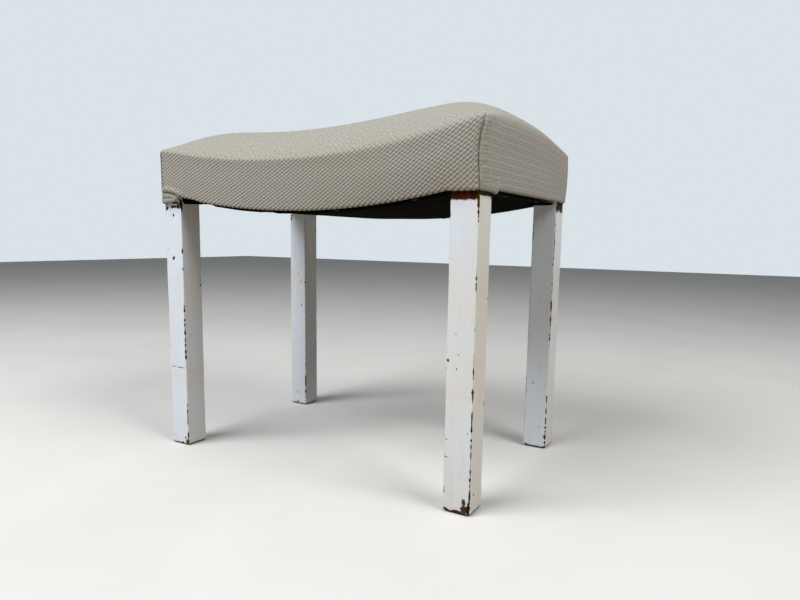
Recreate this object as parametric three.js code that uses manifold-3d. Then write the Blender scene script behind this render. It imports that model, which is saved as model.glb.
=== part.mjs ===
// Upholstered footstool: a long stool with a dished, crowned seat on four plain square legs.
// Units are millimetres, +Z is up, X runs along the stool and the front is at -Y.
// The origin is on the floor, under the middle of the seat.
import * as THREE from "three";
import { mergeVertices } from "three/addons/utils/BufferGeometryUtils.js";
import Module from "manifold-3d";

const wasm = await Module();
wasm.setup();

// Driving dimensions of the timber frame
const frameLength = 470;
const frameDepth = 297;
const legSection = 32.5;
const legChamfer = 2;
const hemHeight = 350;
const dishDrop = 19.5;
const railThickness = 22;
const railDepth = 42;
const fitGap = 0.3;

// Dowelled joints, two dowels at each end of each rail
const dowelRadius = 4;
const dowelChamfer = 1;
const dowelInLeg = 15;
const dowelInRail = 19;
const dowelEdgeMargin = 12;
const dowelSides = 10;

// Corner blocks and their screws
const blockReach = 78;
const blockBlunt = 5;
const blockHeight = 22;
const screwFromCorner = 55;
const screwLength = 35;
const screwRadius = 2;
const screwTip = 6;
const screwHeadRadius = 4;
const screwHeadHeight = 2.6;
const screwSlotWidth = 1;
const screwSlotDepth = 1.2;
const screwSkinLeft = 8;
const screwSides = 12;

// Webbing straps under the seat
const webWidth = 50;
const webThickness = 1.5;
const crossWebFromEnd = 85;
const crossWebCount = 4;
const longWebFromSide = 93.5;
const webEndInset = 10;
const webFoldLength = 20;

// Soft layers, from the webbing up
const hessianThickness = 1.1;
const hessianInset = 4;
const waddingTopThickness = 3.4;
const waddingSideThickness = 1.3;
const waddingHemLift = 6;
const coverThickness = 1.8;
const coverTurnUnder = 16;
const turnUnderGap = 0.6;

// The outside of the seat
const seatFrontRise = 40.7;
const seatDishRise = 26.5;
const endArch = 9;
const crownHeight = 50;
const sideSwell = 2.5;
const creaseRadius = 9;
const seatCornerRadius = 5.5;

// Dust cover below the seat, and its tacks
const dustClothThickness = 0.8;
const dustClothInset = 7;
const dustClothLegGap = 2.5;
const tackInset = 12;
const tackHeadRadius = 3.4;
const tackHeadHeight = 1.1;
const tackShankRadius = 0.9;
const tackShankLength = 12;
const tackSides = 8;
const longTackFromEnd = 79;
const longTackCount = 4;
const endTackFromSide = 93.5;
const endTackCount = 2;

// One overrun serves every cutting tool
const cutOverrun = 5;
const mergeDistance = 0.001;

// Shapes of curves, as shares and powers
const crownPowerAlong = 7.5;
const crownPowerAcross = 4;
const archPower = 6;
const swellHeightShare = 0.62;
const creaseDropShare = 0.7;
const weaveSharpness = 1.6;
const tackDomeShare = 0.55;
const tackRimShare = 0.4;
const tackTipShare = 0.35;
const screwTipShare = 0.2;
const cornerMiddleShare = Math.tan(Math.PI / 8);
const arcSteps = 14;
const webSteps = 32;
const crossWebSteps = 4;
const gridStepsAlong = 4;
const gridStepsAcross = 3;
const gridStepsOverLeg = 2;

// Sizes that follow from the driving ones
const halfLength = frameLength / 2;
const halfDepth = frameDepth / 2;
const halfSpan = halfLength - legSection;
const halfEndSpan = halfDepth - legSection;
const railBottomAtLeg = hemHeight + coverThickness + turnUnderGap;
const frameTop = railBottomAtLeg + railDepth;
const dishRadius = (halfSpan ** 2 + dishDrop ** 2) / (2 * dishDrop);
const coverStandoff = fitGap + waddingSideThickness + fitGap + coverThickness;
const coverHalfLength = halfLength + coverStandoff;
const coverHalfDepth = halfDepth + coverStandoff;
const waddingOffset = coverThickness + fitGap;
const padTopOffset = waddingOffset + waddingTopThickness + fitGap;
const hessianLift = 2 * (webThickness + fitGap) + fitGap;
const padBottomLift = hessianLift + hessianThickness + fitGap;
const crossWebSpacing = (frameLength - 2 * crossWebFromEnd) / (crossWebCount - 1);
const longTackSpacing = (frameLength - 2 * longTackFromEnd) / (longTackCount - 1);
const endTackSpacing = (frameDepth - 2 * endTackFromSide) / (endTackCount - 1);
const dowelHeights = [railBottomAtLeg + dowelEdgeMargin, frameTop - dowelEdgeMargin];
const screwHeight = (dowelHeights[0] + dowelHeights[1]) / 2;

// How far the dished rails lie below their ends, at a place along the stool
function dishAt(x) {
  const reach = Math.min(Math.abs(x), halfSpan);
  return Math.sqrt(dishRadius ** 2 - reach ** 2) - (dishRadius - dishDrop);
}

// Height of the hem along the front and back, and of the frame's upper edge
const hemAt = (x) => hemHeight - dishAt(x);
const frameTopAt = (x) => frameTop - dishAt(x);

// Height of the seat's outside at a place given in shares of half its length and half its depth
function seatHeight(along, across) {
  const s = Math.min(1, Math.abs(along));
  const t = Math.min(1, Math.abs(across));
  const edge = hemHeight + seatFrontRise + seatDishRise * s ** 2;
  const arch = endArch * s ** archPower * (1 - t ** 2);
  return edge + arch + crownHeight * (1 - s ** crownPowerAlong) * (1 - t ** crownPowerAcross);
}

// A closed geometry as a solid for cutting and joining
function solidOf(geometry) {
  const bare = geometry.clone();
  bare.deleteAttribute("normal");
  bare.deleteAttribute("uv");
  const merged = mergeVertices(bare, mergeDistance);
  const mesh = new wasm.Mesh({
    numProp: 3,
    vertProperties: merged.attributes.position.array,
    triVerts: new Uint32Array(merged.index.array),
  });
  return new wasm.Manifold(mesh);
}

// A solid as a geometry with flat faces
function geometryOf(solid) {
  const { vertProperties, triVerts } = solid.getMesh();
  const indexed = new THREE.BufferGeometry();
  indexed.setAttribute("position", new THREE.BufferAttribute(vertProperties, 3));
  indexed.setIndex(new THREE.BufferAttribute(triVerts, 1));
  const faceted = indexed.toNonIndexed();
  faceted.computeVertexNormals();
  return faceted;
}

// A geometry with tools cut away from it
function cutBy(geometry, tools) {
  let solid = solidOf(geometry);
  for (const tool of tools) {
    solid = solid.subtract(solidOf(tool));
  }
  return geometryOf(solid);
}

// A geometry with smooth shading
function smooth(geometry) {
  geometry.computeVertexNormals();
  return geometry;
}

// A profile of [radius, height] points turned about the Z axis
function turned(profile, sides) {
  const points = profile.map(([radius, height]) => new THREE.Vector2(radius, height));
  return new THREE.LatheGeometry(points, sides).rotateX(Math.PI / 2);
}

// A plain round bar from one height to another, standing on the Z axis
function roundBar(radius, bottom, top, sides) {
  return turned([[0, bottom], [radius, bottom], [radius, top], [0, top]], sides);
}

// An outline in X and Z carried along Y for a width, about the middle
function carriedAcross(outline, width) {
  const shape = new THREE.Shape(outline.map(([x, z]) => new THREE.Vector2(x, z)));
  const geometry = new THREE.ExtrudeGeometry(shape, { depth: width, bevelEnabled: false });
  return geometry.rotateX(Math.PI / 2).translate(0, width / 2, 0);
}

// An outline in X and Y raised from one height to another
function raised(outline, bottom, top) {
  const shape = new THREE.Shape(outline.map(([x, y]) => new THREE.Vector2(x, y)));
  const geometry = new THREE.ExtrudeGeometry(shape, { depth: top - bottom, bevelEnabled: false });
  return geometry.translate(0, 0, bottom);
}

// Evenly spaced values from one to another
function steps(from, to, count) {
  return Array.from({ length: count + 1 }, (_, i) => from + ((to - from) * i) / count);
}

// Places centred on zero, a spacing apart
function centredPlaces(count, spacing) {
  return Array.from({ length: count }, (_, i) => (i - (count - 1) / 2) * spacing);
}

// Materials, in the colours of the real finishes
function finish(color, roughness, metalness = 0) {
  return new THREE.MeshStandardMaterial({ color, roughness, metalness });
}
const legPaint = finish(0xcfcabf, 0.42);
const frameWood = finish(0xb48a5c, 0.7);
const dowelWood = finish(0xcaa877, 0.7);
const juteWebbing = finish(0x9a7b4f, 0.95);
const hessian = finish(0xa58c62, 0.95);
const fibreStuffing = finish(0x6f5b45, 1);
const cottonWadding = finish(0xe4e0d6, 1);
const wovenCover = finish(0xb3aca0, 0.95);
const blackCloth = finish(0x131212, 0.95);
const steel = finish(0x8c8a86, 0.35, 0.9);
const bluedSteel = finish(0x2b2d33, 0.4, 0.85);

const stool = new THREE.Group();

// Adds a named piece to a group
function add(group, name, geometry, material) {
  const mesh = new THREE.Mesh(geometry, material);
  mesh.name = name;
  group.add(mesh);
  return mesh;
}

// Legs: square posts with eased arrises and feet, bored for the dowels of two rails.
// Each corner is drawn at +X, +Y, and the other three are its mirror images.
const legFromEnd = halfLength - legSection / 2;
const legFromSide = halfDepth - legSection / 2;

function legBlank() {
  const reach = legSection / 2 - legChamfer;
  const flat = reach - legChamfer;
  const section = [
    [flat, -reach], [reach, -flat], [reach, flat], [flat, reach],
    [-flat, reach], [-reach, flat], [-reach, -flat], [-flat, -reach],
  ];
  const shape = new THREE.Shape(section.map(([x, y]) => new THREE.Vector2(x, y)));
  const blank = new THREE.ExtrudeGeometry(shape, {
    depth: frameTop - 2 * legChamfer,
    bevelThickness: legChamfer,
    bevelSize: legChamfer,
    bevelSegments: 1,
  });
  return blank.translate(legFromEnd, legFromSide, legChamfer);
}

// The room that a leg takes in the soft layers
function legRoom(signX, signY, gap) {
  const width = legSection + 2 * gap;
  const room = new THREE.BoxGeometry(width, width, frameTop + gap);
  return room.translate(signX * legFromEnd, signY * legFromSide, (frameTop + gap) / 2);
}

// Dowels and their holes. The joint's face is at the origin and +Z points into the rail
const dowelGeometry = turned([
  [0, -dowelInLeg],
  [dowelRadius - dowelChamfer, -dowelInLeg],
  [dowelRadius, dowelChamfer - dowelInLeg],
  [dowelRadius, dowelInRail - dowelChamfer],
  [dowelRadius - dowelChamfer, dowelInRail],
  [0, dowelInRail],
], dowelSides);
const dowelHole = roundBar(
  dowelRadius + fitGap, -dowelInLeg - fitGap, dowelInRail + fitGap, dowelSides);

// Where the dowels lie in the joints of a long rail and of an end rail
function longJoint(signX, height) {
  const place = new THREE.Matrix4().makeTranslation(
    signX * halfSpan, halfDepth - railThickness / 2, height);
  return place.multiply(new THREE.Matrix4().makeRotationY((-signX * Math.PI) / 2));
}
function endJoint(signY, height) {
  const place = new THREE.Matrix4().makeTranslation(
    halfLength - railThickness / 2, signY * halfEndSpan, height);
  return place.multiply(new THREE.Matrix4().makeRotationX((signY * Math.PI) / 2));
}

// Corner block screws. The head's flat top is at the origin and the tip points to -Z
const screwGeometry = cutBy(turned([
  [0, -screwLength],
  [screwRadius * screwTipShare, screwTipShare * screwTip - screwLength],
  [screwRadius, screwTip - screwLength],
  [screwRadius, -screwHeadHeight],
  [screwHeadRadius, 0],
  [0, 0],
], screwSides), [
  new THREE.BoxGeometry(2 * (screwHeadRadius + cutOverrun), screwSlotWidth, 2 * screwSlotDepth),
]);
const screwPilot = roundBar(screwRadius + fitGap, -screwLength - fitGap, 0, screwSides);
const screwPassage = turned([
  [0, -screwLength - cutOverrun],
  [screwRadius + fitGap, -screwLength - cutOverrun],
  [screwRadius + fitGap, -screwHeadHeight - fitGap],
  [screwHeadRadius + fitGap, -fitGap],
  [screwHeadRadius + fitGap, blockReach],
  [0, blockReach],
], screwSides);

// Where the screws lie: driven square to the inner face of a long rail or of an end rail
const screwHeadDepth = screwSkinLeft + screwLength;
function longScrew(signX) {
  const place = new THREE.Matrix4().makeTranslation(
    signX * (halfLength - screwFromCorner), halfDepth - screwHeadDepth, screwHeight);
  return place.multiply(new THREE.Matrix4().makeRotationX(Math.PI / 2));
}
function endScrew(signY) {
  const place = new THREE.Matrix4().makeTranslation(
    halfLength - screwHeadDepth, signY * (halfDepth - screwFromCorner), screwHeight);
  return place.multiply(new THREE.Matrix4().makeRotationY(-Math.PI / 2));
}

// A tool moved to each of several places
const toolsAt = (tool, places) => places.map((place) => tool.clone().applyMatrix4(place));

const cornerLeg = cutBy(legBlank(), toolsAt(dowelHole, dowelHeights.flatMap(
  (height) => [longJoint(1, height), endJoint(1, height)])));

// Corner block: fills the angle of two rails and is notched round the leg
function blockGeometry() {
  const rail = railThickness + fitGap;
  const leg = legSection + fitGap;
  const inwards = [
    [leg, rail], [leg, leg], [rail, leg], [rail, blockReach],
    [rail + blockBlunt, blockReach], [blockReach, rail + blockBlunt], [blockReach, rail],
  ];
  const outline = inwards.map(([a, b]) => [halfLength - a, halfDepth - b]);
  const bottom = screwHeight - blockHeight / 2;
  const blank = raised(outline, bottom, bottom + blockHeight);
  return cutBy(blank, toolsAt(screwPassage, [longScrew(1), endScrew(1)]));
}
const cornerBlock = blockGeometry();

for (const [signX, end] of [[-1, "left"], [1, "right"]]) {
  for (const [signY, side] of [[-1, "front"], [1, "back"]]) {
    const corner = new THREE.Group();
    corner.scale.set(signX, signY, 1);
    stool.add(corner);
    const place = `${side}_${end}`;
    add(corner, `leg_${place}`, cornerLeg, legPaint);
    add(corner, `corner_block_${place}`, cornerBlock, frameWood);
    add(corner, `block_screw_${place}_long`, screwGeometry, steel).applyMatrix4(longScrew(1));
    add(corner, `block_screw_${place}_end`, screwGeometry, steel).applyMatrix4(endScrew(1));
    dowelHeights.forEach((height, level) => {
      const word = level ? "upper" : "lower";
      add(corner, `dowel_${place}_long_${word}`, dowelGeometry, dowelWood)
        .applyMatrix4(longJoint(1, height));
      add(corner, `dowel_${place}_end_${word}`, dowelGeometry, dowelWood)
        .applyMatrix4(endJoint(1, height));
    });
  }
}

// Tacks of the dust cover. The head's upper face is at the origin and the shank points to +Z
const tackGeometry = turned([
  [0, -tackHeadHeight],
  [tackHeadRadius * tackDomeShare, -tackHeadHeight],
  [tackHeadRadius, -tackHeadHeight * tackRimShare],
  [tackHeadRadius, 0],
  [tackShankRadius, 0],
  [tackShankRadius, tackShankLength * (1 - tackTipShare)],
  [0, tackShankLength],
], tackSides);
const tackHole = roundBar(
  tackShankRadius + fitGap, -cutOverrun, tackShankLength + fitGap, tackSides);

// Where the tacks lie along the back (+Y) and along the right end (+X), square to the hem
const tackDrop = fitGap + dustClothThickness + fitGap;
const backTacks = centredPlaces(longTackCount, longTackSpacing).map((x) => {
  const slope = Math.asin(x / dishRadius);
  const place = new THREE.Matrix4().makeTranslation(
    x + tackDrop * Math.sin(slope), coverHalfDepth - tackInset, hemAt(x) - tackDrop);
  return place.multiply(new THREE.Matrix4().makeRotationY(-slope));
});
const rightTacks = centredPlaces(endTackCount, endTackSpacing).map((y) =>
  new THREE.Matrix4().makeTranslation(coverHalfLength - tackInset, y, hemHeight - tackDrop));
const halfTurn = new THREE.Matrix4().makeRotationZ(Math.PI);
const backAndRightTackHoles = toolsAt(tackHole, [...backTacks, ...rightTacks]);
const allTackHoles = [
  ...backAndRightTackHoles,
  ...backAndRightTackHoles.map((tool) => tool.clone().applyMatrix4(halfTurn)),
];

// Long rails: sawn to one arc below and one above. End rails: straight
const spanSteps = steps(fitGap - halfSpan, halfSpan - fitGap, arcSteps);
const longRailBlank = carriedAcross([
  ...spanSteps.map((x) => [x, frameTopAt(x) - railDepth]),
  ...spanSteps.map((x) => [x, frameTopAt(x)]).reverse(),
], railThickness).translate(0, halfDepth - railThickness / 2, 0);
const longRail = cutBy(longRailBlank, [
  ...toolsAt(dowelHole, [-1, 1].flatMap(
    (signX) => dowelHeights.map((height) => longJoint(signX, height)))),
  ...toolsAt(screwPilot, [-1, 1].map(longScrew)),
  ...toolsAt(tackHole, backTacks),
]);
const endRailBlank = new THREE.BoxGeometry(railThickness, 2 * (halfEndSpan - fitGap), railDepth)
  .translate(halfLength - railThickness / 2, 0, frameTop - railDepth / 2);
const endRail = cutBy(endRailBlank, [
  ...toolsAt(dowelHole, [-1, 1].flatMap(
    (signY) => dowelHeights.map((height) => endJoint(signY, height)))),
  ...toolsAt(screwPilot, [-1, 1].map(endScrew)),
  ...toolsAt(tackHole, rightTacks),
]);

// The back and the right end, and the front and the left end as the same turned half round
for (const [turn, side, end] of [[0, "back", "right"], [Math.PI, "front", "left"]]) {
  const half = new THREE.Group();
  half.rotation.z = turn;
  stool.add(half);
  add(half, `rail_${side}`, longRail, frameWood);
  add(half, `rail_${end}_end`, endRail, frameWood);
  backTacks.forEach((place, i) => {
    add(half, `dust_tack_${side}_${i + 1}`, tackGeometry, bluedSteel).applyMatrix4(place);
  });
  rightTacks.forEach((place, i) => {
    add(half, `dust_tack_${end}_${i + 1}`, tackGeometry, bluedSteel).applyMatrix4(place);
  });
}

// Webbing. Cross straps lie over the long rails, bent to their arc
const webTop = webThickness + fitGap;
for (const [i, middle] of centredPlaces(crossWebCount, crossWebSpacing).entries()) {
  const places = steps(middle - webWidth / 2, middle + webWidth / 2, crossWebSteps);
  const strap = carriedAcross([
    ...places.map((x) => [x, frameTopAt(x) + fitGap]),
    ...places.map((x) => [x, frameTopAt(x) + webTop]).reverse(),
  ], 2 * (halfDepth - webEndInset));
  add(stool, `web_cross_${i + 1}`, strap, juteWebbing);
}

// Long straps go over one cross strap and under the next, and are folded back on the end rails
function longStrap(direction) {
  const reach = halfLength - webEndInset;
  const fold = reach - webFoldLength;
  const middleLine = (x) => {
    const swing = weaveSharpness * Math.sin((Math.PI * x) / crossWebSpacing);
    const weave = Math.abs(x) < halfSpan ? Math.max(-1, Math.min(1, swing)) : 0;
    const mean = webTop - webThickness / 2;
    return frameTopAt(x) + mean + direction * weave * webTop;
  };
  const places = steps(-fold, fold, webSteps);
  const half = webThickness / 2;
  const lower = [-reach, ...places, reach].map((x) => [x, middleLine(x) - half]);
  const upper = places.map((x) => [x, middleLine(x) + half]);
  const foldTop = frameTop + fitGap + 2 * webThickness;
  const outline = [
    ...lower, [reach, foldTop], [fold, foldTop],
    ...upper.reverse(), [-fold, foldTop], [-reach, foldTop],
  ];
  return carriedAcross(outline, webWidth);
}
const longWebPlace = halfDepth - longWebFromSide;
add(stool, "web_long_front", longStrap(1).translate(0, -longWebPlace, 0), juteWebbing);
add(stool, "web_long_back", longStrap(-1).translate(0, longWebPlace, 0), juteWebbing);

// Hessian over the webbing
const hessianReach = halfLength - hessianInset;
const hessianPlaces = [-hessianReach, ...steps(-halfSpan, halfSpan, arcSteps), hessianReach];
const hessianSheet = carriedAcross([
  ...hessianPlaces.map((x) => [x, frameTopAt(x) + hessianLift]),
  ...hessianPlaces.map((x) => [x, frameTopAt(x) + hessianLift + hessianThickness]).reverse(),
], 2 * (halfDepth - hessianInset));
add(stool, "hessian_base", hessianSheet, hessian);

// The grid of the soft layers, in shares of half the length or half the depth
function gridShares(half, span, spanSteps, legSteps) {
  const flat = half - seatCornerRadius;
  const places = [
    ...steps(0, span, spanSteps).slice(1),
    ...steps(span, flat, legSteps).slice(1),
    flat + seatCornerRadius * cornerMiddleShare,
    half,
  ];
  const shares = places.map((place) => place / half);
  return [...shares.map((share) => -share).reverse(), 0, ...shares];
}
const alongShares = gridShares(coverHalfLength, halfSpan, gridStepsAlong, gridStepsOverLeg);
const acrossShares = gridShares(coverHalfDepth, halfEndSpan, gridStepsAcross, 1);

// Insetting a layer moves only the grid lines over the legs, so those over the span stay in line
function insetPlace(share, half, span, inset) {
  const place = Math.abs(share) * half;
  if (place <= span) {
    return place;
  }
  return span + ((place - span) * (half - inset - span)) / (half - span);
}

// Where a grid share lies in plan, on a rectangle with round corners inset from the hem's line
function planPlace(along, across, inset) {
  const radius = Math.max(0, seatCornerRadius - Math.max(0, inset));
  const flatX = coverHalfLength - inset - radius;
  const flatY = coverHalfDepth - inset - radius;
  const overX = insetPlace(along, coverHalfLength, halfSpan, inset) - flatX;
  const overY = insetPlace(across, coverHalfDepth, halfEndSpan, inset) - flatY;
  const inCorner = overX > 0 && overY > 0;
  const squeeze = inCorner ? Math.max(overX, overY) / Math.hypot(overX, overY) : 1;
  return [
    Math.sign(along) * (flatX + overX * squeeze),
    Math.sign(across) * (flatY + overY * squeeze),
  ];
}

// The surfaces of one soft layer, inset from the cover's side and dropped below its top
function layerSurfaces(inset, drop, swell) {
  const rimShare = (share, half, span) => insetPlace(share, half, span, creaseRadius) / half;
  const edge = (along, across) => seatHeight(along, across) - drop;
  const rim = (along, across) => seatHeight(
    rimShare(along, coverHalfLength, halfSpan),
    rimShare(across, coverHalfDepth, halfEndSpan)) - drop;
  const swellAt = (share) => swell * (1 - (share / swellHeightShare - 1) ** 2);
  const at = (along, across, outset, height) => {
    const [x, y] = planPlace(along, across, inset - outset);
    return [x, y, height];
  };
  return {
    top: (along, across) => at(along, across, -creaseRadius, rim(along, across)),
    crease: (along, across) => at(
      along, across, swellAt(1) - creaseRadius / 4,
      (rim(along, across) + 3 * edge(along, across) - creaseRadius * creaseDropShare) / 4),
    sideTop: (along, across) => at(
      along, across, swellAt(1), edge(along, across) - creaseRadius * creaseDropShare),
    sideMiddle: (along, across) => {
      const foot = hemAt(planPlace(along, across, inset)[0]);
      const height = foot + (edge(along, across) - foot) * swellHeightShare;
      return at(along, across, swellAt(swellHeightShare), height);
    },
    foot: (along, across, lift) => {
      const [x, y] = planPlace(along, across, inset);
      return [x, y, hemAt(x) + lift];
    },
  };
}

// A closed layer: an upper grid, rings down and round its rim, and a lower grid
function closedLayer(upper, rings, lower) {
  const columns = alongShares.length;
  const rows = acrossShares.length;
  const points = [];
  const faces = [];
  const grid = (surface) => {
    const start = points.length;
    acrossShares.forEach((across) =>
      alongShares.forEach((along) => points.push(surface(along, across))));
    return (i, j) => start + j * columns + i;
  };
  const rim = [
    ...steps(0, columns - 2, columns - 2).map((i) => [i, 0]),
    ...steps(0, rows - 2, rows - 2).map((j) => [columns - 1, j]),
    ...steps(columns - 1, 1, columns - 2).map((i) => [i, rows - 1]),
    ...steps(rows - 1, 1, rows - 2).map((j) => [0, j]),
  ];
  const cover = (index, facing) => {
    for (let j = 0; j < rows - 1; j++) {
      for (let i = 0; i < columns - 1; i++) {
        const near = index(i, j);
        const far = index(i + 1, j + 1);
        const sides = [index(i + 1, j), index(i, j + 1)];
        const [first, second] = facing > 0 ? sides : sides.reverse();
        faces.push(near, first, far, near, far, second);
      }
    }
  };
  const upperIndex = grid(upper);
  cover(upperIndex, 1);
  const loops = [rim.map(([i, j]) => upperIndex(i, j))];
  for (const ring of rings) {
    const start = points.length;
    rim.forEach(([i, j]) => points.push(ring(alongShares[i], acrossShares[j])));
    loops.push(rim.map((_, k) => start + k));
  }
  const lowerIndex = grid(lower);
  cover(lowerIndex, -1);
  loops.push(rim.map(([i, j]) => lowerIndex(i, j)));
  loops.slice(1).forEach((below, level) => {
    const above = loops[level];
    const rising = points[below[0]][2] > points[above[0]][2];
    rim.forEach((_, k) => {
      const next = (k + 1) % rim.length;
      if (rising) {
        faces.push(below[k], below[next], above[k], below[next], above[next], above[k]);
      } else {
        faces.push(below[k], below[next], above[next], below[k], above[next], above[k]);
      }
    });
  });
  const geometry = new THREE.BufferGeometry();
  geometry.setAttribute("position", new THREE.Float32BufferAttribute(points.flat(), 3));
  geometry.setIndex(faces);
  return geometry;
}

// Stuffing: a crowned pad on the hessian, flush with the frame
function padGeometry() {
  const skin = layerSurfaces(coverStandoff, padTopOffset, 0);
  const bottom = (along, across) => {
    const [x, y] = planPlace(along, across, coverStandoff);
    return [x, y, frameTopAt(x) + padBottomLift];
  };
  return closedLayer(skin.top, [skin.crease], bottom);
}
add(stool, "stuffing_pad", smooth(padGeometry()), fibreStuffing);

// Wadding: over the pad and down the frame's sides
function waddingGeometry() {
  const outside = layerSurfaces(waddingOffset, waddingOffset, sideSwell);
  const inside = layerSurfaces(
    waddingOffset + waddingSideThickness, waddingOffset + waddingTopThickness, sideSwell);
  return closedLayer(outside.top, [
    outside.crease,
    outside.sideTop,
    outside.sideMiddle,
    (along, across) => outside.foot(along, across, waddingHemLift),
    (along, across) => inside.foot(along, across, waddingHemLift),
    inside.sideMiddle,
    inside.sideTop,
    inside.crease,
  ], inside.top);
}
add(stool, "wadding_layer", smooth(waddingGeometry()), cottonWadding);

// Cover: over the wadding, down the sides and turned under the rails, cut round the legs
function coverGeometry() {
  const outside = layerSurfaces(0, 0, sideSwell);
  const inside = layerSurfaces(coverThickness, coverThickness, sideSwell);
  const turnedIn = layerSurfaces(coverTurnUnder, 0, 0);
  const shell = closedLayer(outside.top, [
    outside.crease,
    outside.sideTop,
    outside.sideMiddle,
    (along, across) => outside.foot(along, across, 0),
    (along, across) => turnedIn.foot(along, across, 0),
    (along, across) => turnedIn.foot(along, across, coverThickness),
    (along, across) => inside.foot(along, across, coverThickness),
    inside.sideMiddle,
    inside.sideTop,
    inside.crease,
  ], inside.top);
  const legRooms = [-1, 1].flatMap((signX) => [-1, 1].map(
    (signY) => legRoom(signX, signY, fitGap)));
  return cutBy(shell, [...legRooms, ...allTackHoles]);
}
add(stool, "seat_cover", coverGeometry(), wovenCover);

// Dust cover: black cloth under the rails, following their arc and cut back from the legs
function dustCoverGeometry() {
  const reach = coverHalfLength - dustClothInset;
  const places = [-reach, ...steps(-halfSpan, halfSpan, arcSteps), reach];
  const blank = carriedAcross([
    ...places.map((x) => [x, hemAt(x) - fitGap - dustClothThickness]),
    ...places.map((x) => [x, hemAt(x) - fitGap]).reverse(),
  ], 2 * (coverHalfDepth - dustClothInset));
  const legRooms = [-1, 1].flatMap((signX) => [-1, 1].map(
    (signY) => legRoom(signX, signY, dustClothLegGap)));
  return cutBy(blank, [...legRooms, ...allTackHoles]);
}
add(stool, "dust_cover", dustCoverGeometry(), blackCloth);

export default stool;
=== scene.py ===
"""Upholstered footstool: a dished, crowned seat in a bobble weave on four painted square legs.

The seat's cover, its padding, the straps, the black cloth under the seat and the legs are modelled
here. The rails, blocks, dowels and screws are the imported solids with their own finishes.
Lengths are in millimetres until a piece is finished. X runs along the stool, the front is at -Y.
"""

from math import cos, pi, radians, sin

import bmesh
import bpy
import numpy as np
from mathutils import Matrix, Vector


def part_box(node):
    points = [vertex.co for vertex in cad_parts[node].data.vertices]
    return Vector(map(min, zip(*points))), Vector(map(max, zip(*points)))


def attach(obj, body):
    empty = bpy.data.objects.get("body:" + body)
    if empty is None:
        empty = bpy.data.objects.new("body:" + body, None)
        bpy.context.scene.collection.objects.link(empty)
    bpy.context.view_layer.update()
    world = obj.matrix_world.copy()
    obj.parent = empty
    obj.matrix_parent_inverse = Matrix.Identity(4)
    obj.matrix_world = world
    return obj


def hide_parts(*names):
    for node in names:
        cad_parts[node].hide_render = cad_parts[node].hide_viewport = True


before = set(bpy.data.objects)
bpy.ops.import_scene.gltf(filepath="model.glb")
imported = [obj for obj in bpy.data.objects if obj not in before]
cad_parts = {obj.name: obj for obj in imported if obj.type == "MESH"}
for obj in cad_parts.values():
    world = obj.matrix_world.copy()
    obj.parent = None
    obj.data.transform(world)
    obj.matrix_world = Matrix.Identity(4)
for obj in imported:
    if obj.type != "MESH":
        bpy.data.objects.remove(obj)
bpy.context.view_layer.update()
MM = 0.001

# ---- Sizes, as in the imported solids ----
cover_half_length = 238.7
cover_half_depth = 152.2
half_span = 202.5
half_end_span = 116.0
leg_section = 32.5
leg_from_end = 218.75
leg_from_side = 132.25
frame_top = 394.4
hem_height = 350.0
dish_drop = 19.5
dish_radius = (half_span**2 + dish_drop**2) / (2 * dish_drop)
front_rise = 40.7
dish_rise = 26.5
end_arch = 9.0
crown_height = 49.0
crown_powers = (3.9, 0.1)
side_swell = 2.5
cover_thickness = 1.8
bobble_length = 7.3
bobble_depth = 4.53
thread_pitch = 0.7
stripes_apart = 34

# The photograph's camera, in pixels of its 800 x 600 picture
picture_width = 800
focal_length = 627.4
centre_shift = 24.98
sensor_width = 36


def smooth_step(value, low, high):
    """0 below low, 1 above high, with an eased rise between them."""
    share = np.clip((np.asarray(value, float) - low) / (high - low), 0, 1)
    return share * share * (3 - 2 * share)


def bump_at(value, middle, width):
    """A soft bump of height 1 round a middle value."""
    return np.exp(-(((np.asarray(value, float) - middle) / width) ** 2))


def dish_at(x):
    """How far the sawn rails lie below their ends."""
    reach = np.minimum(np.abs(x), half_span)
    return np.sqrt(dish_radius**2 - reach**2) - (dish_radius - dish_drop)


# ---- Camera, at the photograph's angle ----
def add_camera():
    data = bpy.data.cameras.new("camera")
    data.sensor_width = sensor_width
    data.lens = sensor_width * focal_length / picture_width
    data.shift_y = centre_shift / picture_width
    data.clip_start = 0.05
    camera = linked("camera", data)
    yaw, pitch, roll = radians(-30.29), radians(7.96), radians(-0.88)
    ahead = Vector((sin(yaw) * cos(pitch), cos(yaw) * cos(pitch), -sin(pitch)))
    level = Vector((cos(yaw), -sin(yaw), 0))
    below = ahead.cross(level)
    right = level * cos(roll) + below * sin(roll)
    down = below * cos(roll) - level * sin(roll)
    camera.matrix_world = Matrix((
        (right.x, -down.x, -ahead.x, 0.4925),
        (right.y, -down.y, -ahead.y, -0.7441),
        (right.z, -down.z, -ahead.z, 0.2999),
        (0, 0, 0, 1),
    ))
    bpy.context.scene.camera = camera


# ---- Shaders: nodes added by name, and sums written as sums ----
class Tone:
    """A shader value. Sums on it add Math nodes to the shading that it belongs to."""

    def __init__(self, shading, socket):
        self.shading = shading
        self.socket = socket

    def sum(self, operation, *values):
        return self.shading.node("Math", {"operation": operation}, dict(enumerate(values)))

    def __add__(self, other):
        return self.sum("ADD", self, other)

    def __sub__(self, other):
        return self.sum("SUBTRACT", self, other)

    def __rsub__(self, other):
        return self.sum("SUBTRACT", other, self)

    def __mul__(self, other):
        return self.sum("MULTIPLY", self, other)

    __radd__ = __add__
    __rmul__ = __mul__

    def cosine(self):
        return self.sum("COSINE", self)

    def highest(self, other):
        return self.sum("MAXIMUM", self, other)


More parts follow.
